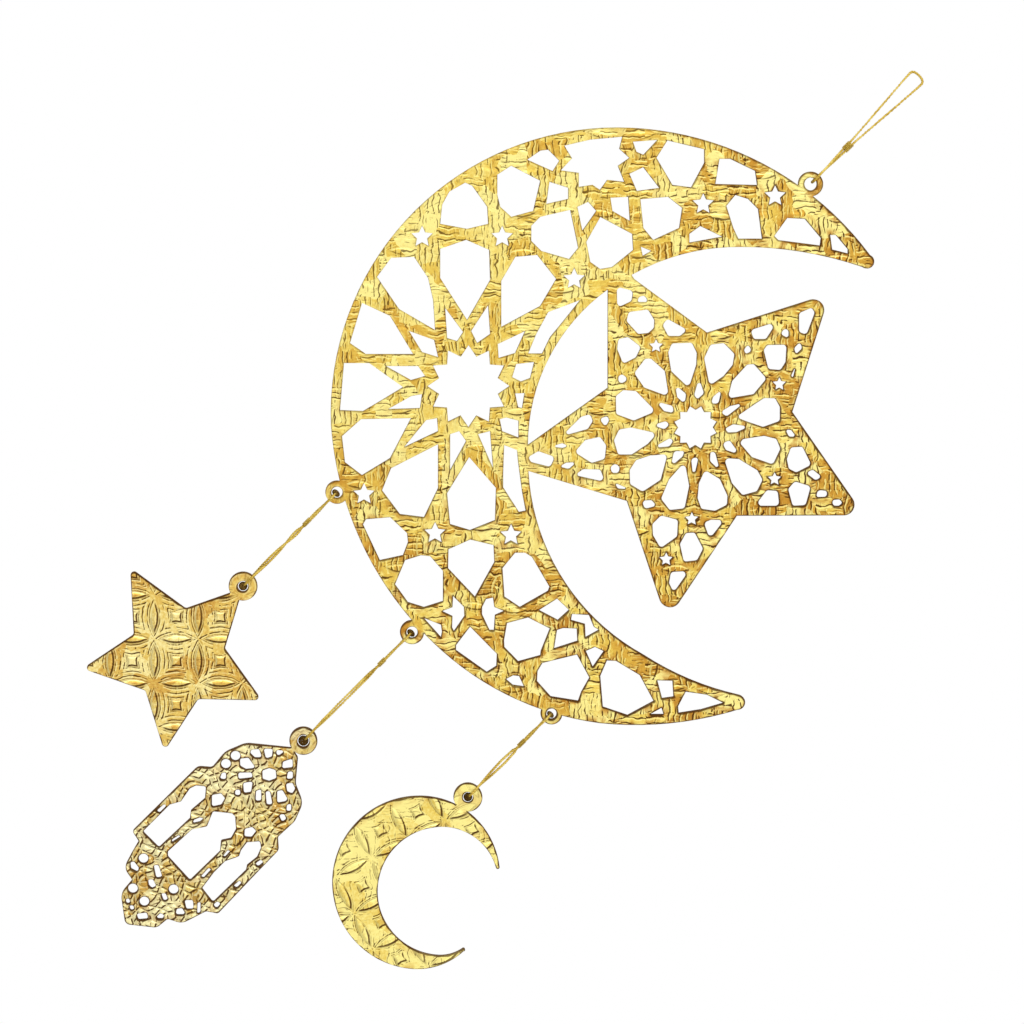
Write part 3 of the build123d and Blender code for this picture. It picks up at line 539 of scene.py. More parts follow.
@dataclass(frozen=True)
class FiligreeEmboss:
    """Filigree embossing: a winding lattice of grooves, from the same formulas in the mesh and the shader."""

    cell: float = 2.1
    swirl: float = 0.2
    turn: float = math.radians(45.0)
    rise: float = 0.2
    # Strength of the painted shade in the grooves
    groove_shading: float = 0.25
    depth: float = 1.1
    quick_pace: Point = (1.3, 1.1)
    slow_pace: Point = (0.62, 0.57)
    slow_share: float = 1.6
    wave_start: Point = (1.3, 0.7)
    slope: Span = (0.1, 0.45)
    groove_fade: Span = (0.14, 0.42)
    groove_breaks: Span = (0.32, 0.42)
    groove_shade_fade: Span = (0.1, 0.32)
    groove_shade_breaks: Span = (0.38, 0.5)

    def ridge(self, x: Number, y: Number) -> Number:
        """Find a drawing place among the grooves.

        Args:
            x: Distance to the right, in millimetres.
            y: Distance up, in millimetres.

        Returns:
            The distance from a groove, from 0 in it to 1 in the middle of a cell.
        """
        u = (x * math.cos(self.turn) + y * math.sin(self.turn)) / self.cell
        v = (y * math.cos(self.turn) - x * math.sin(self.turn)) / self.cell
        slow = self.swirl * self.slow_share
        u = u + sine(y * self.quick_pace[0]) * self.swirl + sine(x * self.slow_pace[0] + self.wave_start[0]) * slow
        v = v + sine(x * self.quick_pace[1] + self.wave_start[1]) * self.swirl + sine(y * self.slow_pace[1]) * slow
        return smaller(abs(u - floor(u) - 0.5), abs(v - floor(v) - 0.5)) * 2.0

    def level(self, x: float, y: float) -> float:
        """Return the mesh's relief at a drawing place, in millimetres."""
        return self.rise * soft_step(self.ridge(x, y), *self.slope)

    def height(self, x: Value, y: Value, look: "PatchLook") -> Value:
        """Return the finer painted relief of a shaded point."""
        line = 1.0 - soft_step(self.ridge(x, y), *self.groove_fade)
        return 0.0 - line * (soft_step(look.broken, *self.groove_breaks) * self.depth)

    def groove_shade(self, x: Value, y: Value, look: "PatchLook") -> Value:
        """Return the painted shade in the pattern's grooves at a shaded point."""
        line = 1.0 - soft_step(self.ridge(x, y), *self.groove_shade_fade)
        return line * soft_step(look.broken, *self.groove_shade_breaks) * self.groove_shading


@dataclass(frozen=True)
class PatchLook:
    """What the foil's patches give a shaded point: stroke direction, start, breaks, ripple and wear."""

    upright: Value
    start: Value
    broken: Value
    ripple: Value
    worn: Value


@dataclass(frozen=True)
class FoilColours:
    """The foil's colours, from the painted shade of its deepest lines to its palest crowns, which also serve for
    painted highlights; amber is the painted shade near the rims.
    """

    deep: Colour = (0.085, 0.032, 0.005, 1.0)
    brown: Colour = (0.33, 0.135, 0.014, 1.0)
    amber: Colour = (0.52, 0.235, 0.028, 1.0)
    gold: Colour = (0.66, 0.375, 0.050, 1.0)
    yellow: Colour = (0.80, 0.575, 0.102, 1.0)
    pale: Colour = (0.95, 0.825, 0.28, 1.0)


WARM_GOLD = FoilColours()
TAN_GOLD = FoilColours(gold=(0.65, 0.37, 0.07, 1.0), yellow=(0.80, 0.57, 0.135, 1.0), pale=(0.95, 0.82, 0.36, 1.0))
CREAM_GOLD = FoilColours(
    brown=(0.30, 0.14, 0.02, 1.0),
    gold=(0.60, 0.37, 0.08, 1.0),
    yellow=(0.76, 0.57, 0.17, 1.0),
    pale=(0.94, 0.85, 0.45, 1.0),
)


@dataclass(frozen=True)
class FoilClouds:
    """How fine the foil's clouds are, in noise steps per millimetre, and which slices of the noise two of them show."""

    broad: float = 0.085
    fine: float = 1.3
    cluster: float = 0.14
    cluster_slice: float = 3.0
    sway: float = 0.16
    lean_slice: float = 7.0
    ripple: float = 0.36
    worn: float = 0.07
    wear: float = 0.4
    glint: float = 0.27


CLOUDS = FoilClouds()


@dataclass(frozen=True)
class Stroke:
    """One set of a foil's strokes: how far it ripples, how a patch shifts it, its line and where it breaks off."""

    ripple: float
    shift: float
    line: Span
    breaks: Span


BOLD = Stroke(2.0, 9.0, (0.08, 0.45), (0.46, 0.53))
FINE = Stroke(1.4, 5.0, (0.1, 0.5), (0.33, 0.42))


@dataclass(frozen=True)
class RimLook:
    """How a foil darkens along its outline, partly by scorching and partly by painted shade, and takes a painted
    highlight and a painted amber shade, by the distance from it in millimetres.
    """

    start: float = 0.12
    wear: float = 0.7
    falloff_widening: float = 0.2
    highlight_rise: Span = (0.25, 0.45)
    highlight_fall: Span = (0.5, 1.0)
    highlight_breaks: Span = (0.45, 0.6)
    shade_fall: Span = (0.5, 2.4)
    shade_breaks: Span = (0.46, 0.58)


RIM = RimLook()


@dataclass(frozen=True)
class GoldFoil:
    """Stamped gold foil: embossed shapes and patches of strokes, with painted highlights on the crowns and inside the
    rims, painted shade in the hollows, grooves and near the rims, a painted light falloff, and rims darkened partly by
    scorching and partly by painted shade.
    """

    name: str
    emboss: PetalEmboss | FiligreeEmboss
    colours: FoilColours = WARM_GOLD
    stamped: bool = True
    patch: float = 5.2
    pitch: float = 1.5
    stroke_depth: float = 0.8
    tone: float = 0.70
    contrast: float = 0.6
    drift: float = 0.6
    rim_shading: float = 1.0
    grain: float = 0.4
    # Painted shade and highlight of the relief's slopes: how far down the slope to compare, and how strong the painted
    # shade is
    shade_reach: float = 0.26
    shade_strength: float = 0.8
    rim_width: float = 0.5
    # Painted light falloff: the foil is painted brightest round this place, and darker, with more contrast and wider
    # dark rims, away from it
    painted_light_centre: Point = (-42.0, 44.0)
    falloff_reach: Span = (25.0, 118.0)
    falloff_loss: float = 0.09
    falloff_gain: float = 0.4
    stops: tuple[float, ...] = (0.05, 0.36, 0.62, 0.92)
    # How the slope turns into painted shade, the strongest painted shade, and the painted highlight's strength
    shade_fade: Span = (0.04, 0.42)
    shade_most: float = 0.97
    highlight_strength: float = 0.75
    rim_highlight_strength: float = 0.7
    calm_least: float = 0.4
    rim_shade_span: Span = (0.08, 0.85)
    rim_shade_gain: float = 1.2
    patch_sway: float = 5.0
    patch_disorder: float = 0.85
    upright_share: float = 0.45
    break_pace: Point = (0.5, 0.13)
    break_shift: float = 20.0
    fine_pitch: float = 0.55
    fine_depth: float = 0.6
    shade_falloff: float = 0.2
    line_clusters: float = 0.7
    grain_height: float = 0.6
    grain_roughness: float = 0.3
    line_roughness: float = 0.2
    roughness: float = 0.38
    metallic: float = 0.8
    specular: float = 0.15
    bump: float = 0.3
    bump_height: float = 0.12

    def make(self) -> bpy.types.Material:
        """Shade the foil, from its broad tone to the painted shade and painted highlights on top.

        Returns:
            The material.
        """
        shader = Shader(self.name)
        x, y = shader.drawing_place()
        flat = shader.vector(x, y)
        look, shade = self.patches(shader, x, y)
        # Painted light: where the relief falls away towards the lower right, the colour is painted darker. Where it
        # rises, it is painted paler, as if lit from the upper left. The grooves get painted shade as well.
        reach = self.shade_reach
        shading_slope = self.relief(x, y, look) - self.relief(x + reach, y - reach, look)
        dark = larger(shading_slope.smooth(*self.shade_fade), self.emboss.groove_shade(x, y, look))
        light = (0.0 - shading_slope).smooth(*self.shade_fade)
        broad = shader.cloud(flat, CLOUDS.broad) - 0.5
        fine = shader.cloud(flat, CLOUDS.fine, 3.0) - 0.5
        # Painted light falloff: darker tone and more contrast away from the brightest place.
        distance = shader.node(
            "ShaderNodeVectorMath", {"operation": "DISTANCE"}, [flat, (*self.painted_light_centre, 0.0)]
        ).outputs["Value"]
        light_falloff = Value(shader, distance).smooth(*self.falloff_reach)
        tone = (shade - 0.5) * (light_falloff * self.falloff_gain + self.contrast)
        tone = tone + broad * self.drift + fine * self.grain + self.tone - light_falloff * self.falloff_loss
        inks = self.colours
        stops = list(zip(self.stops, (inks.brown, inks.gold, inks.yellow, inks.pale)))
        colour = shader.node("ShaderNodeValToRGB", {"stops": stops}, [tone]).outputs[0]
        if self.stamped:
            # The painted shade and highlight are softened on the eyelets.
            calm = shader.attribute("calm") * (1.0 - self.calm_least) + self.calm_least
            dark, light = dark * calm, light * calm
            edge, rim_highlight, rim_shade = self.rim(shader, flat, light_falloff)
            # The painted highlight along the rims joins the slope's painted highlight.
            light = larger(light, rim_highlight * self.rim_highlight_strength)
            # The dark rim, partly scorching and partly painted shade, joins the painted shade.
            dark = larger(dark, edge * (light_falloff * self.falloff_gain + (1.0 - self.falloff_gain)))
            # Painted amber shade near the rims, stronger where the painted light falls off.
            least, most = self.rim_shade_span
            rim_shade = rim_shade * smaller(light_falloff * self.rim_shade_gain + least, most) * self.rim_shading
            colour = shader.mix(rim_shade, colour, inks.amber)
        cluster = shader.cloud(shader.vector(y, x, CLOUDS.cluster_slice), CLOUDS.cluster, 1.0) - 0.5
        depth = light_falloff * self.shade_falloff + cluster * self.line_clusters + self.shade_strength
        depth = smaller(depth, self.shade_most)
        # Painted highlight towards the pale colour, then painted shade towards the deep colour.
        colour = shader.mix(light * self.highlight_strength, colour, inks.pale)
        colour = shader.mix(dark * depth, colour, inks.deep)
        height = self.relief(x, y, look) + fine * self.grain_height
        shader.finish(
            {
                "Base Color": colour,
                "Roughness": fine * self.grain_roughness + self.roughness + dark * self.line_roughness,
                "Metallic": self.metallic,
                "Specular IOR Level": self.specular,
            },
            height, self.bump, self.bump_height,
        )
        return shader.material

    def patches(self, shader: Shader, x: Value, y: Value) -> tuple[PatchLook, Value]:
        """Find the patch that a shaded point lies in.

        Args:
            shader: The foil's shader.
            x: The point's drawing place, to the right.
            y: The point's drawing place, up.

        Returns:
            What the patch gives the point, and the patch's shade.
        """
        flat = shader.vector(x, y)
        sway = shader.cloud(flat, CLOUDS.sway) - 0.5
        lean = shader.cloud(shader.vector(y, x, CLOUDS.lean_slice), CLOUDS.sway) - 0.5
        place = shader.vector(x + sway * self.patch_sway, y + lean * self.patch_sway)
        cells = shader.node(
            "ShaderNodeTexVoronoi",
            {"voronoi_dimensions": "2D", "distance": "CHEBYCHEV"},
            {"Vector": place, "Scale": 1.0 / self.patch, "Randomness": self.patch_disorder},
        )
        split = shader.node("ShaderNodeSeparateColor", {}, [cells.outputs["Color"]])
        way, shade, start = (Value(shader, split.outputs[index]) for index in range(3))
        upright = way.above(self.upright_share)
        across, along = self.turned(x, y, upright)
        pace = self.break_pace
        broken = shader.cloud(shader.vector(across * pace[0], along * pace[1], start * self.break_shift), 1.0)
        ripple = shader.cloud(flat, CLOUDS.ripple, 1.0) - 0.5
        worn = shader.cloud(flat, CLOUDS.worn, 1.0)
        return PatchLook(upright, start, broken, ripple, worn), shade

    def rim(self, shader: Shader, flat: bpy.types.NodeSocket, light_falloff: Value) -> tuple[Value, Value, Value]:
        """Shade the foil along its outline.

        Args:
            shader: The foil's shader.
            flat: The shaded point's drawing place.
            light_falloff: How far the painted light falls off at the point, from 0 at the brightest place to 1.

        Returns:
            The rim darkened partly by scorching and partly by painted shade, the painted highlight beside it and the
            painted amber shade further in.
        """
        inward = shader.attribute("rim")
        wear = shader.cloud(flat, CLOUDS.wear, 1.0) - 0.5
        # Dark rim: partly scorching from the cutting, partly painted shade. It widens where the painted light falls off
        # and on edges facing up and to the right.
        edge = 1.0 - (inward + wear * RIM.wear - light_falloff * RIM.falloff_widening).smooth(RIM.start, self.rim_width)
        glint = shader.cloud(flat, CLOUDS.glint, 1.0)
        # Painted highlight: a pale band just inside the outline, broken up by a cloud.
        rim_highlight = inward.smooth(*RIM.highlight_rise) * (1.0 - inward.smooth(*RIM.highlight_fall))
        rim_highlight = rim_highlight * glint.smooth(*RIM.highlight_breaks)
        # Painted amber shade further in from the outline, where the highlight cloud is low.
        rim_shade = (1.0 - inward.smooth(*RIM.shade_fall)) * (1.0 - glint).smooth(*RIM.shade_breaks)
        return edge, rim_highlight, rim_shade

    @staticmethod
    def turned(x: Value, y: Value, upright: Value) -> tuple[Value, Value]:
        """Return the place across and along the strokes of a patch."""
        level = 1.0 - upright
        return x * upright + y * level, y * upright + x * level

    def relief(self, x: Value, y: Value, look: PatchLook) -> Value:
        """Return the painted relief: the embossing and the patch's own strokes.

        Args:
            x: The point's drawing place, to the right.
            y: The point's drawing place, up.
            look: What the patch gives the point.

        Returns:
            The relief.
        """
        across, _ = self.turned(x, y, look.upright)
        bold = (across + look.ripple * BOLD.ripple) / self.pitch + look.start * BOLD.shift
        fine = (across + look.ripple * FINE.ripple) / (self.pitch * self.fine_pitch) + look.start * FINE.shift
        bold = groove(bold, BOLD.line) * soft_step(look.broken, *BOLD.breaks)
        fine = groove(fine, FINE.line) * (1.0 - soft_step(look.broken, *FINE.breaks)) * self.fine_depth
        return self.emboss.height(x, y, look) - (bold + fine) * self.stroke_depth


@dataclass(frozen=True)
class ScorchedBoard:
    """The board's cut edge, browned by the cutting, with faint plies."""

    name: str = "scorched_board"
    dark: Colour = (0.05, 0.018, 0.004, 1.0)
    brown: Colour = (0.19, 0.078, 0.016, 1.0)
    ply: float = 0.55
    smoke: float = 420.0
    smoke_sway: float = 0.4
    smoke_tone: float = 0.9
    ply_tone: float = 0.25
    base_tone: float = 0.2
    stops: Span = (0.1, 0.8)
    smoke_roughness: float = 0.3
    roughness: float = 0.6
    specular: float = 0.1
    bump: float = 0.3
    bump_height: float = 0.1

    def make(self) -> bpy.types.Material:
        """Shade the board's plies and smoke.

        Returns:
            The material.
        """
        shader = Shader(self.name)
        point = shader.node("ShaderNodeTexCoord").outputs["Object"]
        parts = shader.node("ShaderNodeSeparateXYZ", {}, [point])
        depth = Value(shader, parts.outputs[1]) / (self.ply * MM)
        smoke = shader.cloud(point, self.smoke, 4.0)
        plies = abs((depth + smoke * self.smoke_sway).fraction() - 0.5) * 2.0
        tone = smoke * self.smoke_tone + plies * self.ply_tone - self.base_tone
        stops = list(zip(self.stops, (self.dark, self.brown)))
        colour = shader.node("ShaderNodeValToRGB", {"stops": stops}, [tone])
        surface = {
            "Base Color": colour.outputs[0],
            "Roughness": smoke * self.smoke_roughness + self.roughness,
            "Specular IOR Level": self.specular,
        }
        shader.finish(surface, plies + smoke, self.bump, self.bump_height)
        return shader.material


@dataclass(frozen=True)
class MetalThread:
    """Metallic gold thread: fine bright fibres, with painted shade in the brown hollows between them and a painted
    sheen over them.
    """

    name: str = "gold_thread"
    brown: Colour = (0.22, 0.115, 0.014, 1.0)
    gold: Colour = (0.62, 0.43, 0.07, 1.0)
    pale: Colour = (0.92, 0.78, 0.25, 1.0)
    stops: tuple[float, ...] = (0.25, 0.5, 0.75)
    fibre: float = 2600.0
    sheen: float = 260.0
    fibre_tone: float = 0.6
    sheen_tone: float = 0.45
    fibre_roughness: float = 0.3
    roughness: float = 0.3
    metallic: float = 0.8
    specular: float = 0.15
    bump: float = 0.4
    bump_height: float = 0.05

    def make(self) -> bpy.types.Material:
        """Shade the thread's fibres, with their painted shade and painted sheen.

        Returns:
            The material.
        """
        shader = Shader(self.name)
        point = shader.node("ShaderNodeTexCoord").outputs["Object"]
        fibre = shader.cloud(point, self.fibre, 3.0)
        sheen = shader.cloud(point, self.sheen, 2.0)
        stops = list(zip(self.stops, (self.brown, self.gold, self.pale)))
        # Painted shade and sheen: the fibre cloud turns brown in the hollows, and the slower sheen cloud paints paler
        # bands.
        tone = fibre * self.fibre_tone + sheen * self.sheen_tone
        colour = shader.node("ShaderNodeValToRGB", {"stops": stops}, [tone])
        surface = {
            "Base Color": colour.outputs[0],
            "Roughness": fibre * self.fibre_roughness + self.roughness,
            "Metallic": self.metallic,
            "Specular IOR Level": self.specular,
        }
        shader.finish(surface, fibre, self.bump, self.bump_height)
        return shader.material


def dress(obj: bpy.types.Object, material: bpy.types.Material) -> None:
    """Give every face of an object one material."""
    obj.data.materials.clear()
    obj.data.materials.append(material)


@dataclass(frozen=True)
class EmbossedFoil:
    """A front foil stamped with a pattern, made from its CAD node and cut into a fine grid."""

    node: str
    body: str
    emboss: PetalEmboss | FiligreeEmboss
    eyelets: Sequence[Eyelet]
    pitch: float = 0.34
    # How many millimetres the dark rim, partly scorching and partly painted shade, keeps back on sheltered sides, and
    # how much edges facing right and up are shaded
    shelter: float = 0.3
    shaded_rim_side: Point = (0.4, 0.9)
    calm_reach: Span = (-0.4, 1.2)
    outline_step: float = 0.1
    sharp: float = math.radians(50.0)

    def build(self, material: bpy.types.Material) -> bpy.types.Object:
        """Make the stamped foil, dress it and let it stand for its node.

        Args:
            material: The foil's finish.

        Returns:
            The new piece.
        """
        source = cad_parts[self.node]
        mesh = bpy.data.meshes.new(f"{self.node}_stamped")
        bm = bmesh.new()
        bm.from_mesh(source.data)
        bmesh.ops.remove_doubles(bm, verts=bm.verts[:], dist=WELD)
        front = min(vertex.co.y for vertex in bm.verts)
        self.cut_grid(bm, front)
        self.stamp(bm, front)
        for edge in bm.edges:
            edge.smooth = edge.calc_face_angle(0.0) < self.sharp
        for face in bm.faces:
            face.smooth = True
        bm.to_mesh(mesh)
        bm.free()
        piece = bpy.data.objects.new(f"{self.node}_stamped", mesh)
        bpy.context.scene.collection.objects.link(piece)
        dress(piece, material)
        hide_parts(self.node)
        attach(piece, self.body)
        return piece

    def cut_grid(self, bm: bmesh.types.BMesh, front: float) -> None:
        """Cut the front face along both drawing directions, then clear the old diagonals.

        Args:
            bm: The mesh.
            front: The front face's place in depth.
        """
        pitch = self.pitch * MM
        for direction in (DRAWING.right, DRAWING.up):
            faces = [face for face in bm.faces if all(abs(v.co.y - front) < FLAT for v in face.verts)]
            reach = [vertex.co.dot(direction) / pitch for vertex in bm.verts]
            self.slice(bm, faces, direction, math.ceil(min(reach)), math.floor(max(reach)))
        diagonals = [edge for edge in bm.edges if self.is_diagonal(edge, front, pitch)]
        bmesh.ops.dissolve_edges(bm, edges=diagonals, use_verts=False)
        idle = [v for v in bm.verts if len(v.link_edges) == 2]
        bmesh.ops.dissolve_verts(bm, verts=idle)

    def slice(
        self, bm: bmesh.types.BMesh, faces: list[bmesh.types.BMFace], direction: Vector, low: int, high: int
    ) -> None:
        """Cut faces by every grid plane from low to high, the middle plane first.

        Args:
            bm: The mesh.
            faces: The faces that lie between the planes' ends.
            direction: The planes' normal.
            low: Number of the first plane.
            high: Number of the last plane.
        """
        if low > high or not faces:
            return
        middle = (low + high) // 2
        place = direction * middle * self.pitch * MM
        geom = list({item for face in faces for item in (*face.verts, *face.edges)}) + faces
        cut = bmesh.ops.bisect_plane(bm, geom=geom, dist=THIN, plane_co=place, plane_no=direction)
        below, above = [], []
        for item in cut["geom"]:
            if isinstance(item, bmesh.types.BMFace):
                side = (item.calc_center_median() - place).dot(direction)
                (above if side > 0.0 else below).append(item)
        self.slice(bm, below, direction, low, middle - 1)
        self.slice(bm, above, direction, middle + 1, high)

    @staticmethod
    def is_diagonal(edge: bmesh.types.BMEdge, front: float, pitch: float) -> bool:
        """Tell whether an edge of the flat front lies on neither a grid line nor the outline.

        Args:
            edge: The edge.
            front: The front face's place in depth.
            pitch: The grid's step, in metres.

        Returns:
            Whether the edge is a left-over diagonal.
        """
        if edge.calc_face_angle(0.0) > CREASE or any(abs(v.co.y - front) > FLAT for v in edge.verts):
            return False
        for direction in (DRAWING.right, DRAWING.up):
            steps = [vertex.co.dot(direction) / pitch for vertex in edge.verts]
            if abs(steps[0] - steps[1]) < ON_GRID and abs(steps[0] - round(steps[0])) < ON_GRID:
                return False
        return True

    def stamp(self, bm: bmesh.types.BMesh, front: float) -> None:
        """Raise the front by the pattern, calm on the eyelets, and note each place's distance from the rim.

        Args:
            bm: The mesh.
            front: The front face's place in depth.
        """
        outline, shelter = self.outline(bm, front)
        rim = bm.verts.layers.float.new("rim")
        calm = bm.verts.layers.float.new("calm")
        for vertex in bm.verts:
            if abs(vertex.co.y - front) > FLAT:
                continue
            x, y = DRAWING.read(vertex.co)
            gap = min(math.dist((x, y), eyelet.centre) - eyelet.ring for eyelet in self.eyelets)
            _, nearest, distance = outline.find(vertex.co)
            vertex[rim] = distance / MM + shelter[nearest]
            vertex[calm] = soft_step(gap, *self.calm_reach)
            vertex.co.y -= self.emboss.level(x, y) * vertex[calm] * MM

    def outline(self, bm: bmesh.types.BMesh, front: float) -> tuple[KDTree, list[float]]:
        """Return close points along the front's outline for nearest-point searches, and each one's shelter.

        Args:
            bm: The mesh.
            front: The front face's place in depth.

        Returns:
            The points, and by how many millimetres each side of the outline escapes the dark rim, which is partly
            scorching and partly painted shade; sides facing up and to the right escape it least.
        """
        step = self.outline_step * MM
        side, top = self.shaded_rim_side
        points, shelter = [], []
        for edge in bm.edges:
            ends = [vertex.co.copy() for vertex in edge.verts]
            if edge.calc_face_angle(0.0) < CREASE or any(abs(end.y - front) > FLAT for end in ends):
                continue
            wall = min(edge.link_faces, key=lambda face: abs(face.normal.y)).normal
            # Painted shade: edges facing up and to the right get less shelter, so their dark rim is wider.
            facing = wall.dot(DRAWING.up) * top + wall.dot(DRAWING.right) * side
            count = max(1, math.ceil(edge.calc_length() / step))
            points += [ends[0].lerp(ends[1], index / count) for index in range(count + 1)]
            shelter += [self.shelter * (1.0 - facing) / 2.0] * (count + 1)
        tree = KDTree(len(points))
        for index, point in enumerate(points):
            tree.insert(point, index)
        tree.balance()
        return tree, shelter


@dataclass(frozen=True)
class Plate:
    """A laminated plate: a board core between a stamped front foil and a plain back foil."""

    name: str
    finish: GoldFoil
    eyelets: Sequence[Eyelet]
    pitch: float = 0.34

    def build(self, board: bpy.types.Material, back: bpy.types.Material) -> bpy.types.Object:
        """Dress the core and the back foil as they are, and stamp the front foil.

        Args:
            board: Finish of the core.
            back: Finish of the back foil.

        Returns:
            The stamped front foil.
        """
        dress(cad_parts[f"{self.name}_core"], board)
        dress(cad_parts[f"{self.name}_{Face.BACK.value}_foil"], back)
        front = f"{self.name}_{Face.FRONT.value}_foil"
        foil = EmbossedFoil(front, self.name, self.finish.emboss, self.eyelets, self.pitch)
        return foil.build(self.finish.make())


@dataclass(frozen=True)
class Plies:
    """How plies are laid: their number, distance from the middle, radius and length of a turn, in millimetres."""

    count: int
    offset: float
    radius: float
    lay: float


@dataclass(frozen=True)
class ThreadSizes:
    """Sizes of the thread, of its bends round the plates and of the wire that whips its knots, in millimetres."""

    diameter: float = 0.7
    strand_offset: float = 0.37
    bend: float = 1.9
    rim_reach: float = 0.8832
    neck: float = 6.0
    straight: float = 0.8
    lap: float = 0.5
    wire: float = 0.16
    wire_bed: float = 0.8
    wire_pitch: float = 2.05
    turn_steps: int = 20
    route_steps: int = 14
    strand: Plies = Plies(3, 0.178, 0.172, 1.9)
    whipping: Plies = Plies(2, 0.075, 0.095, 0.9)
    tying: Plies = Plies(2, 0.08, 0.1, 0.9)


THREAD = ThreadSizes()


@dataclass(frozen=True)
class ThreadLoop:
    """A doubled thread that runs through an eyelet at each end and is closed by a whipped knot."""

    name: str
    body: str
    length: float
    route: Sequence[tuple[float, float, float]]
    knot_place: tuple[float, float, float]
    knot_turned: bool
    ties: Sequence[tuple[Vector, float, float]] = ()
    knot_length: float = 2.3
    tie_turns: float = 10.0
    tie_reach: float = 1.1

    def build(self, material: bpy.types.Material, shaded: bpy.types.Material) -> bpy.types.Object:
        """Args:
            material: The thread's finish.
            shaded: The darkened finish of the thread tied inside the eyelets, painted shade for the eyelet holes.

        Returns:
            The thread's mesh.
        """
        path = self.read_route()
        thread = self.twist(f"{self.name}_plies", path, THREAD.strand)
        knot = self.whip()
        for piece, node in ((thread, f"{self.name}_thread"), (knot, f"{self.name}_knot")):
            dress(piece, material)
            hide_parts(node)
            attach(piece, self.body)
        ties = [self.tie(f"{self.name}_tie_{index}", *ball) for index, ball in enumerate(self.ties)]
        for piece in ties:
            # Painted shade: the tied balls take the darkened finish that fills the eyelet holes.
            dress(piece, shaded)
            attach(piece, self.body)
        return thread

    def read_route(self) -> list[Vector]:
        """Draw the smooth line that the route's points control.

        Returns:
            Points along it, in metres.
        """
        curve = bpy.data.curves.new(f"{self.name}_route", "CURVE")
        curve.dimensions = "3D"
        curve.resolution_u = THREAD.route_steps
        spline = curve.splines.new("NURBS")
        spline.points.add(len(self.route) - 1)
        for point, place in zip(spline.points, self.route):
            point.co = (*(Vector(place) * MM), 1.0)
        spline.order_u = 3
        spline.use_endpoint_u = True
        holder = bpy.data.objects.new(f"{self.name}_route", curve)
        line = bpy.data.meshes.new_from_object(holder)
        points = [vertex.co.copy() for vertex in line.vertices]
        bpy.data.objects.remove(holder)
        bpy.data.curves.remove(curve)
        bpy.data.meshes.remove(line)
        return points

    @staticmethod
    def twist(name: str, path: Sequence[Vector], plies: Plies) -> bpy.types.Object:
        """Return plies wound round a path as one mesh.

        Args:
            name: The new object's name.
            path: Points of the middle line, in metres.
            plies: How they are laid.

        Returns:
            The mesh object.
        """
        curve = bpy.data.curves.new(name, "CURVE")
        curve.dimensions = "3D"
        curve.bevel_depth = plies.radius * MM
        curve.bevel_resolution = 1
        curve.use_fill_caps = True
        for ply in range(plies.count):
            spline = curve.splines.new("POLY")
            spline.points.add(len(path) - 1)
            side = (path[1] - path[0]).orthogonal().normalized()
            angle = math.tau * ply / plies.count
            for index, here in enumerate(path):
                ahead = (path[min(index + 1, len(path) - 1)] - path[max(index - 1, 0)]).normalized()
                side = (side - ahead * side.dot(ahead)).normalized()
                angle += (here - path[max(index - 1, 0)]).length / (plies.lay * MM) * math.tau
                out = Matrix.Rotation(angle, 3, ahead) @ side
                spline.points[index].co = (*(here + out * plies.offset * MM), 1.0)
        holder = bpy.data.objects.new(f"{name}_curve", curve)
        mesh = bpy.data.meshes.new_from_object(holder)
        mesh.name = name
        bpy.data.objects.remove(holder)
        bpy.data.curves.remove(curve)
        mesh.shade_smooth()
        piece = bpy.data.objects.new(name, mesh)
        bpy.context.scene.collection.objects.link(piece)
        return piece

    def whip(self) -> bpy.types.Object:
        """Wind the knot tightly round both strands.

        Returns:
            The mesh object.
        """
        wide = THREAD.strand_offset + THREAD.diameter / 2 + THREAD.wire * THREAD.wire_bed
        thin = THREAD.diameter / 2 + THREAD.wire * THREAD.wire_bed
        turns = self.knot_length / (THREAD.wire * THREAD.wire_pitch)
        count = int(turns * THREAD.turn_steps)
        path = []
        for index in range(count + 1):
            angle = math.tau * turns * index / count
            across, through = wide * math.cos(angle), thin * math.sin(angle)
            if self.knot_turned:
                across, through = through, across
            rise = self.knot_length * (index / count - 0.5)
            path.append((Vector(self.knot_place) + Vector((across, through, rise))) * MM)
        return self.twist(f"{self.name}_whipping", path, THREAD.whipping)

    def tie(self, name: str, place: Vector, wide: float, tall: float) -> bpy.types.Object:
        """Wind a small ball of thread inside an eyelet, where the strands are tied round its rim.

        Args:
            name: The new object's name.
            place: The ball's middle, in millimetres.
            wide: Its reach to each side, in millimetres.
            tall: Its reach up and down, in millimetres.

        Returns:
            The mesh object.
        """
        count = int(self.tie_turns * THREAD.turn_steps)
        path = []
        for index in range(count + 1):
            share = index / count
            angle = math.tau * self.tie_turns * share
            swell = math.sin(math.pi * share)
            depth = -self.tie_reach * math.cos(math.pi * share)
            out = Vector((wide * swell * math.cos(angle), depth, tall * swell * math.sin(angle)))
            path.append((place + out) * MM)
        return self.twist(name, path, THREAD.tying)


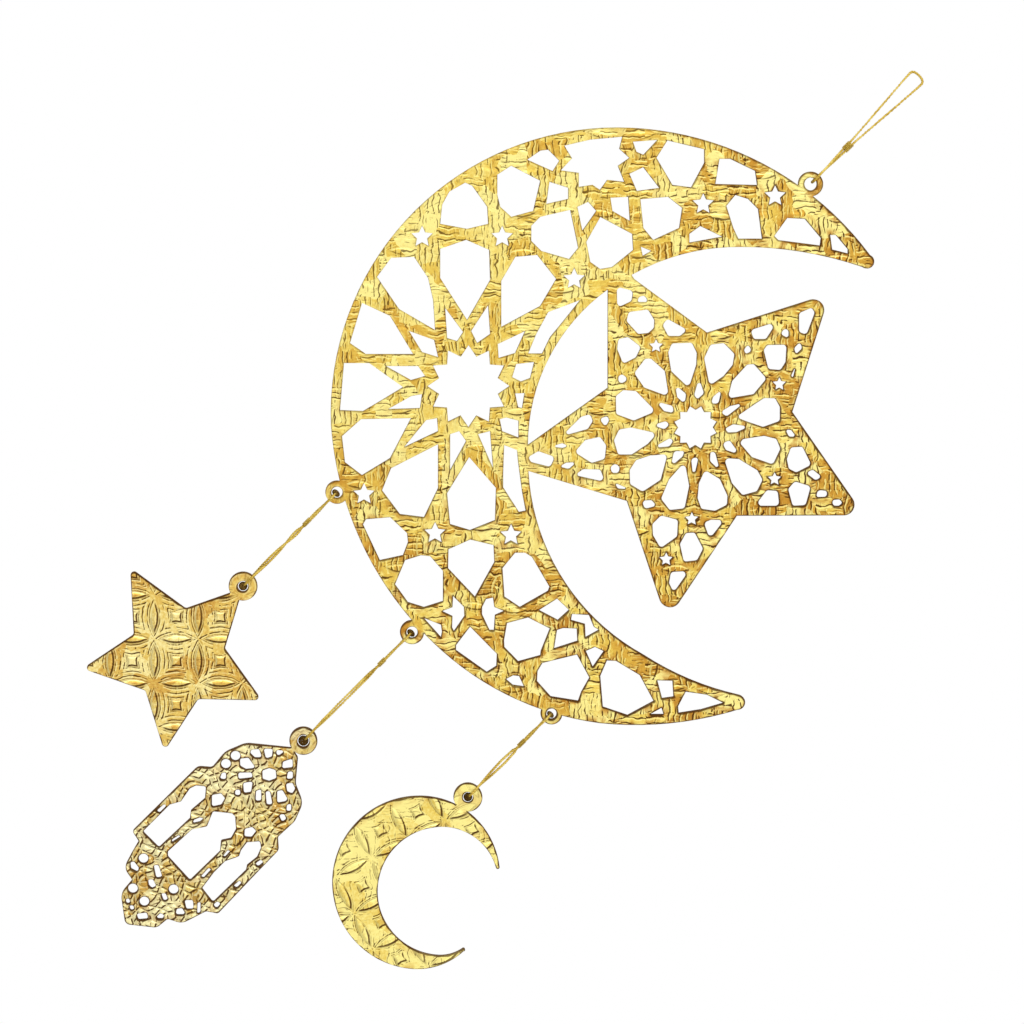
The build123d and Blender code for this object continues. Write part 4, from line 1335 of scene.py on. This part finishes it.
@dataclass(frozen=True)
class PendantThread:
    """The route of a pendant's thread, from an eyelet of the crescent to the pendant's own.

    Each turn is a share of the way from the knot to the lower neck, the angle by which the two strands are
    wound round each other there, in degrees, and how far each lies from the middle, in millimetres.
    """

    name: str
    upper: Eyelet
    lower: Eyelet
    length: float
    turns: Sequence[tuple[float, float, float]]
    upper_turn: float = 65.0
    knot_drop: float = 2.4
    knot_tail: float = 2.0
    tie_drop: float = 0.35
    upper_room: float = 0.41
    lower_room: float = 0.31

    def loop(self) -> ThreadLoop:
        """Lead the thread through both eyelets, its strands wound together on the way.

        Returns:
            The thread loop.
        """
        top = DRAWING.place(*self.upper.centre) / MM
        foot = DRAWING.place(*self.lower.centre) / MM
        high = top.z - self.upper.hole - THREAD.rim_reach
        low = foot.z + self.lower.hole + THREAD.rim_reach
        knot = high - THREAD.neck - self.knot_drop
        tail, neck = knot - self.knot_tail, low + THREAD.neck
        x, r, d = top.x, THREAD.bend, THREAD.strand_offset
        wound = math.radians(self.upper_turn)
        aside, behind = d * math.sin(wound), d * math.cos(wound)
        back, fore = [(x, d, tail)], [(x, -d, tail)]
        for share, angle, spread in self.turns:
            away, deep = (spread * wave(math.radians(angle)) for wave in (math.sin, math.cos))
            height = tail * (1.0 - share) + neck * share
            back.append((x + away, deep, height))
            fore.append((x - away, -deep, height))
        route = [
            (x, -d, knot + THREAD.lap),
            (x - aside, -behind, high - THREAD.neck),
            (x, -r, high - THREAD.straight),
            (x, -r, high + r),
            (x, r, high + r),
            (x, r, high - THREAD.straight),
            (x + aside, behind, high - THREAD.neck),
            *back,
            (x, r, low + THREAD.straight),
            (x, r, low - r),
            (x, -r, low - r),
            (x, -r, low + THREAD.straight),
            *reversed(fore),
            (x, -d, knot - THREAD.lap),
        ]
        upper_wide = self.upper.hole - self.upper_room
        upper_tall = upper_wide - self.tie_drop
        lower_wide = self.lower.hole - self.lower_room
        ties = (
            (Vector((x, 0.0, top.z - self.tie_drop)), upper_wide, upper_tall),
            (Vector((x, 0.0, foot.z)), lower_wide, lower_wide),
        )
        return ThreadLoop(self.name, f"{self.name}_cord", self.length, route, (x, 0.0, knot), True, ties)


@dataclass(frozen=True)
class HangThread:
    """The route of the hanging loop, through the crescent's eyelet and over the hook."""

    eyelet: Eyelet = HANG_EYELET
    twist_length: float = 9.0
    knot_length: float = 2.4
    knot_room: float = 1.0
    spread: float = 4.0
    length: float = 80.9

    def loop(self) -> ThreadLoop:
        """Lead the thread from the knot over the hook, down and through the eyelet.

        Returns:
            The hanging loop.
        """
        r, d, half = THREAD.bend, THREAD.strand_offset, self.spread / 2
        low = -DRAWING.hang_length + self.eyelet.hole + THREAD.rim_reach
        knot_low = low + self.twist_length
        knot_high = knot_low + self.knot_length + self.knot_room
        knot = (knot_low + knot_high) / 2
        top = THREAD.diameter / 2
        route = [
            (-d, 0.0, knot + THREAD.lap),
            (-d, 0.0, knot_high),
            (-half, 0.0, -half),
            (-half, 0.0, top),
            (half, 0.0, top),
            (half, 0.0, -half),
            (d, 0.0, knot_high),
            (d, 0.0, knot_low),
            (0.0, r, low + THREAD.straight),
            (0.0, r, low - r),
            (0.0, -r, low - r),
            (0.0, -r, low + THREAD.straight),
            (-d, 0.0, knot_low),
            (-d, 0.0, knot - THREAD.lap),
        ]
        return ThreadLoop("hang", "hanger", self.length, route, (0.0, 0.0, knot), False)


@dataclass(frozen=True)
class SoftLight:
    """A square soft light: its place from the ornament's middle and its side, in metres, and its power in watts."""

    name: Stage
    offset: tuple[float, float, float]
    size: float
    power: float

    def build(self, target: Vector) -> None:
        """Make the light.

        Args:
            target: The point that it faces.
        """
        lamp = bpy.data.lights.new(self.name.value, "AREA")
        lamp.size = self.size
        lamp.energy = self.power
        offset = Vector(self.offset)
        holder = bpy.data.objects.new(self.name.value, lamp)
        holder.location = target + offset
        holder.rotation_mode = "QUATERNION"
        holder.rotation_quaternion = (-offset).to_track_quat("-Z", "Y")
        bpy.context.scene.collection.objects.link(holder)


@dataclass(frozen=True)
class Studio:
    """White surroundings, soft light, a pale floor below and the photograph's camera."""

    picture_centre: Point = (-29.5, -21.75)
    picture_width: float = 256.0
    distance: float = 2.0
    swing: float = math.radians(3.0)
    floor_drop: float = 0.14
    floor_size: float = 1.0
    floor_sides: int = 96
    floor_colour: Colour = (0.86, 0.86, 0.85, 1.0)
    floor_roughness: float = 0.9
    ambient: float = 0.62
    sight: float = 20.0
    lights: Sequence[SoftLight] = (
        SoftLight(Stage.KEY, (-0.55, -1.05, 0.75), 0.7, 5.5),
        SoftLight(Stage.FILL, (0.8, -1.1, -0.1), 0.9, 2.0),
    )

    def build(self) -> None:
        """Make the world, the lights, the floor and the camera."""
        bpy.context.scene.view_settings.view_transform = "Standard"
        self.make_world()
        self.make_floor()
        target = DRAWING.place(*self.picture_centre)
        for light in self.lights:
            light.build(target)
        self.make_camera(target)

    def make_world(self) -> None:
        """Make the world white where it is seen or mirrored, and softer where it lights."""
        world = bpy.data.worlds.new("white_studio")
        world.use_nodes = True
        bpy.context.scene.world = world
        nodes, links = world.node_tree.nodes, world.node_tree.links
        background = nodes["Background"]
        background.inputs["Color"].default_value = (1.0, 1.0, 1.0, 1.0)
        path = nodes.new("ShaderNodeLightPath")
        seen = path.outputs["Is Camera Ray"]
        for ray in ("Is Glossy Ray", "Is Transmission Ray"):
            either = nodes.new("ShaderNodeMath")
            either.operation = "MAXIMUM"
            links.new(seen, either.inputs[0])
            links.new(path.outputs[ray], either.inputs[1])
            seen = either.outputs[0]
        level = nodes.new("ShaderNodeMapRange")
        level.inputs["To Min"].default_value = self.ambient
        level.inputs["To Max"].default_value = 1.0
        links.new(seen, level.inputs["Value"])
        links.new(level.outputs[0], background.inputs["Strength"])

    def make_floor(self) -> None:
        """Make the pale floor under the ornament."""
        mesh = bpy.data.meshes.new(Stage.FLOOR.value)
        bm = bmesh.new()
        bmesh.ops.create_circle(bm, cap_ends=True, radius=self.floor_size / 2, segments=self.floor_sides)
        low = CAD_BOX[0].z - self.floor_drop
        bmesh.ops.translate(bm, vec=(0.0, 0.0, low), verts=bm.verts[:])
        bm.to_mesh(mesh)
        bm.free()
        floor = bpy.data.objects.new(Stage.FLOOR.value, mesh)
        bpy.context.scene.collection.objects.link(floor)
        shader = Shader("pale_floor")
        shader.feed(shader.surface.inputs["Base Color"], self.floor_colour)
        shader.feed(shader.surface.inputs["Roughness"], self.floor_roughness)
        dress(floor, shader.material)

    def make_camera(self, target: Vector) -> None:
        """Make the camera, rolled with the drawing and swung to the ornament's left.

        Args:
            target: The point in the middle of the picture.
        """
        data = bpy.data.cameras.new(Stage.CAMERA.value)
        data.lens = data.sensor_width * self.distance / (self.picture_width * MM)
        data.clip_end = self.sight
        turn = Matrix.Rotation(-self.swing, 3, "Z")
        axes = [turn @ axis for axis in (DRAWING.right, DRAWING.up, Vector((0.0, -1.0, 0.0)))]
        camera = bpy.data.objects.new(Stage.CAMERA.value, data)
        camera.matrix_world = Matrix.Translation(target + axes[2] * self.distance) @ Matrix(axes).transposed().to_4x4()
        bpy.context.scene.collection.objects.link(camera)
        bpy.context.scene.camera = camera


CRESCENT_PATTERN = PetalEmboss(
    (-36.5, 58.3),
    9.9,
    -1.0,
    petal_width=2.0,
    petal_share=0.72,
    button=2.2,
    rise=0.14,
    sway=0.5,
    hatch_depth=0.25,
    painted=0.75,
    groove_shading=0.3,
    patchy=1.0,
)
STAR_PATTERN = PetalEmboss((-113.25, -59.0), 11.0, petal_width=2.0, petal_share=0.72)
MOON_PATTERN = PetalEmboss(
    (-62.25, -101.5), 10.25, 26.9, petal_width=2.2, petal_share=0.8, hatch_depth=0.3, painted=1.25
)
BACK_PATTERN = PetalEmboss(CRESCENT_PATTERN.centre, CRESCENT_PATTERN.cell)
# Painted shade: a darkened thread finish for the balls tied in the eyelets, standing in for the shade inside the eyelet
# holes.
EYELET_SHADE_THREAD = MetalThread(
    "eyelet_shade_thread",
    brown=(0.05, 0.022, 0.004, 1.0),
    gold=(0.13, 0.065, 0.012, 1.0),
    pale=(0.42, 0.27, 0.06, 1.0),
)


def list_plates() -> tuple[Plate, ...]:
    """Give each plate its own foil and eyelets.

    Returns:
        The four plates, in the order in which they are built.
    """
    crescent = GoldFoil("crescent_foil", CRESCENT_PATTERN)
    star = GoldFoil(
        "star_pendant_foil",
        STAR_PATTERN,
        TAN_GOLD,
        stroke_depth=0.2,
        contrast=0.1,
        drift=0.2,
        grain=0.75,
        rim_shading=0.2,
        rim_width=0.34,
    )
    moon = GoldFoil(
        "moon_pendant_foil",
        MOON_PATTERN,
        stroke_depth=0.3,
        contrast=0.1,
        drift=0.3,
        tone=1.0,
        grain=0.6,
        rim_shading=0.4,
        rim_width=0.27,
        shade_strength=0.75,
    )
    lantern = GoldFoil(
        "lantern_pendant_foil",
        FiligreeEmboss(),
        CREAM_GOLD,
        stroke_depth=0.4,
        contrast=0.5,
        tone=0.84,
        rim_shading=0.5,
        rim_width=0.38,
    )
    return (
        Plate("crescent", crescent, (HANG_EYELET, STAR_EYELET, LANTERN_EYELET, MOON_EYELET), pitch=0.45),
        Plate("star_pendant", star, (STAR_PENDANT_EYELET,)),
        Plate("moon_pendant", moon, (MOON_PENDANT_EYELET,)),
        Plate("lantern_pendant", lantern, (LANTERN_PENDANT_EYELET,)),
    )


def list_loops() -> tuple[ThreadLoop, ...]:
    """Give each thread its eyelets, its length and the turns of its strands.

    Returns:
        The hanging loop and the three pendant threads, in the order in which they are built.
    """
    star = PendantThread(
        "star",
        STAR_EYELET,
        STAR_PENDANT_EYELET,
        70.2,
        ((0.06, 60.0, 0.37), (0.2, 100.0, 0.37), (0.42, 180.0, 0.37), (0.7, 245.0, 0.38), (1.06, 245.0, 0.38)),
    )
    lantern = PendantThread(
        "lantern",
        LANTERN_EYELET,
        LANTERN_PENDANT_EYELET,
        80.3,
        ((0.1, 40.0, 0.37), (0.3, 56.0, 0.38), (1.04, 56.0, 0.38)),
        upper_turn=30.0,
    )
    moon = PendantThread(
        "moon",
        MOON_EYELET,
        MOON_PENDANT_EYELET,
        63.2,
        ((0.06, 65.0, 0.38), (0.25, 75.0, 0.42), (0.5, 85.0, 0.55), (0.75, 80.0, 0.45), (1.06, 65.0, 0.38)),
    )
    return tuple(thread.loop() for thread in (HangThread(), star, lantern, moon))


def main() -> None:
    """Build and dress every piece in turn."""
    logging.basicConfig(level=logging.INFO, format="%(name)s: %(message)s")
    Studio().build()
    board = ScorchedBoard().make()
    thread = MetalThread().make()
    # Painted shade for the thread tied in the eyelets.
    shaded = EYELET_SHADE_THREAD.make()
    back = GoldFoil("back_foil", BACK_PATTERN, stamped=False).make()
    for plate in list_plates():
        piece = plate.build(board, back)
        LOG.info("stamped %s with %d faces", piece.name, len(piece.data.polygons))
    for loop in list_loops():
        piece = loop.build(thread, shaded)
        LOG.info("threaded %s with %d faces", piece.name, len(piece.data.polygons))


if __name__ == "__main__":
    main()
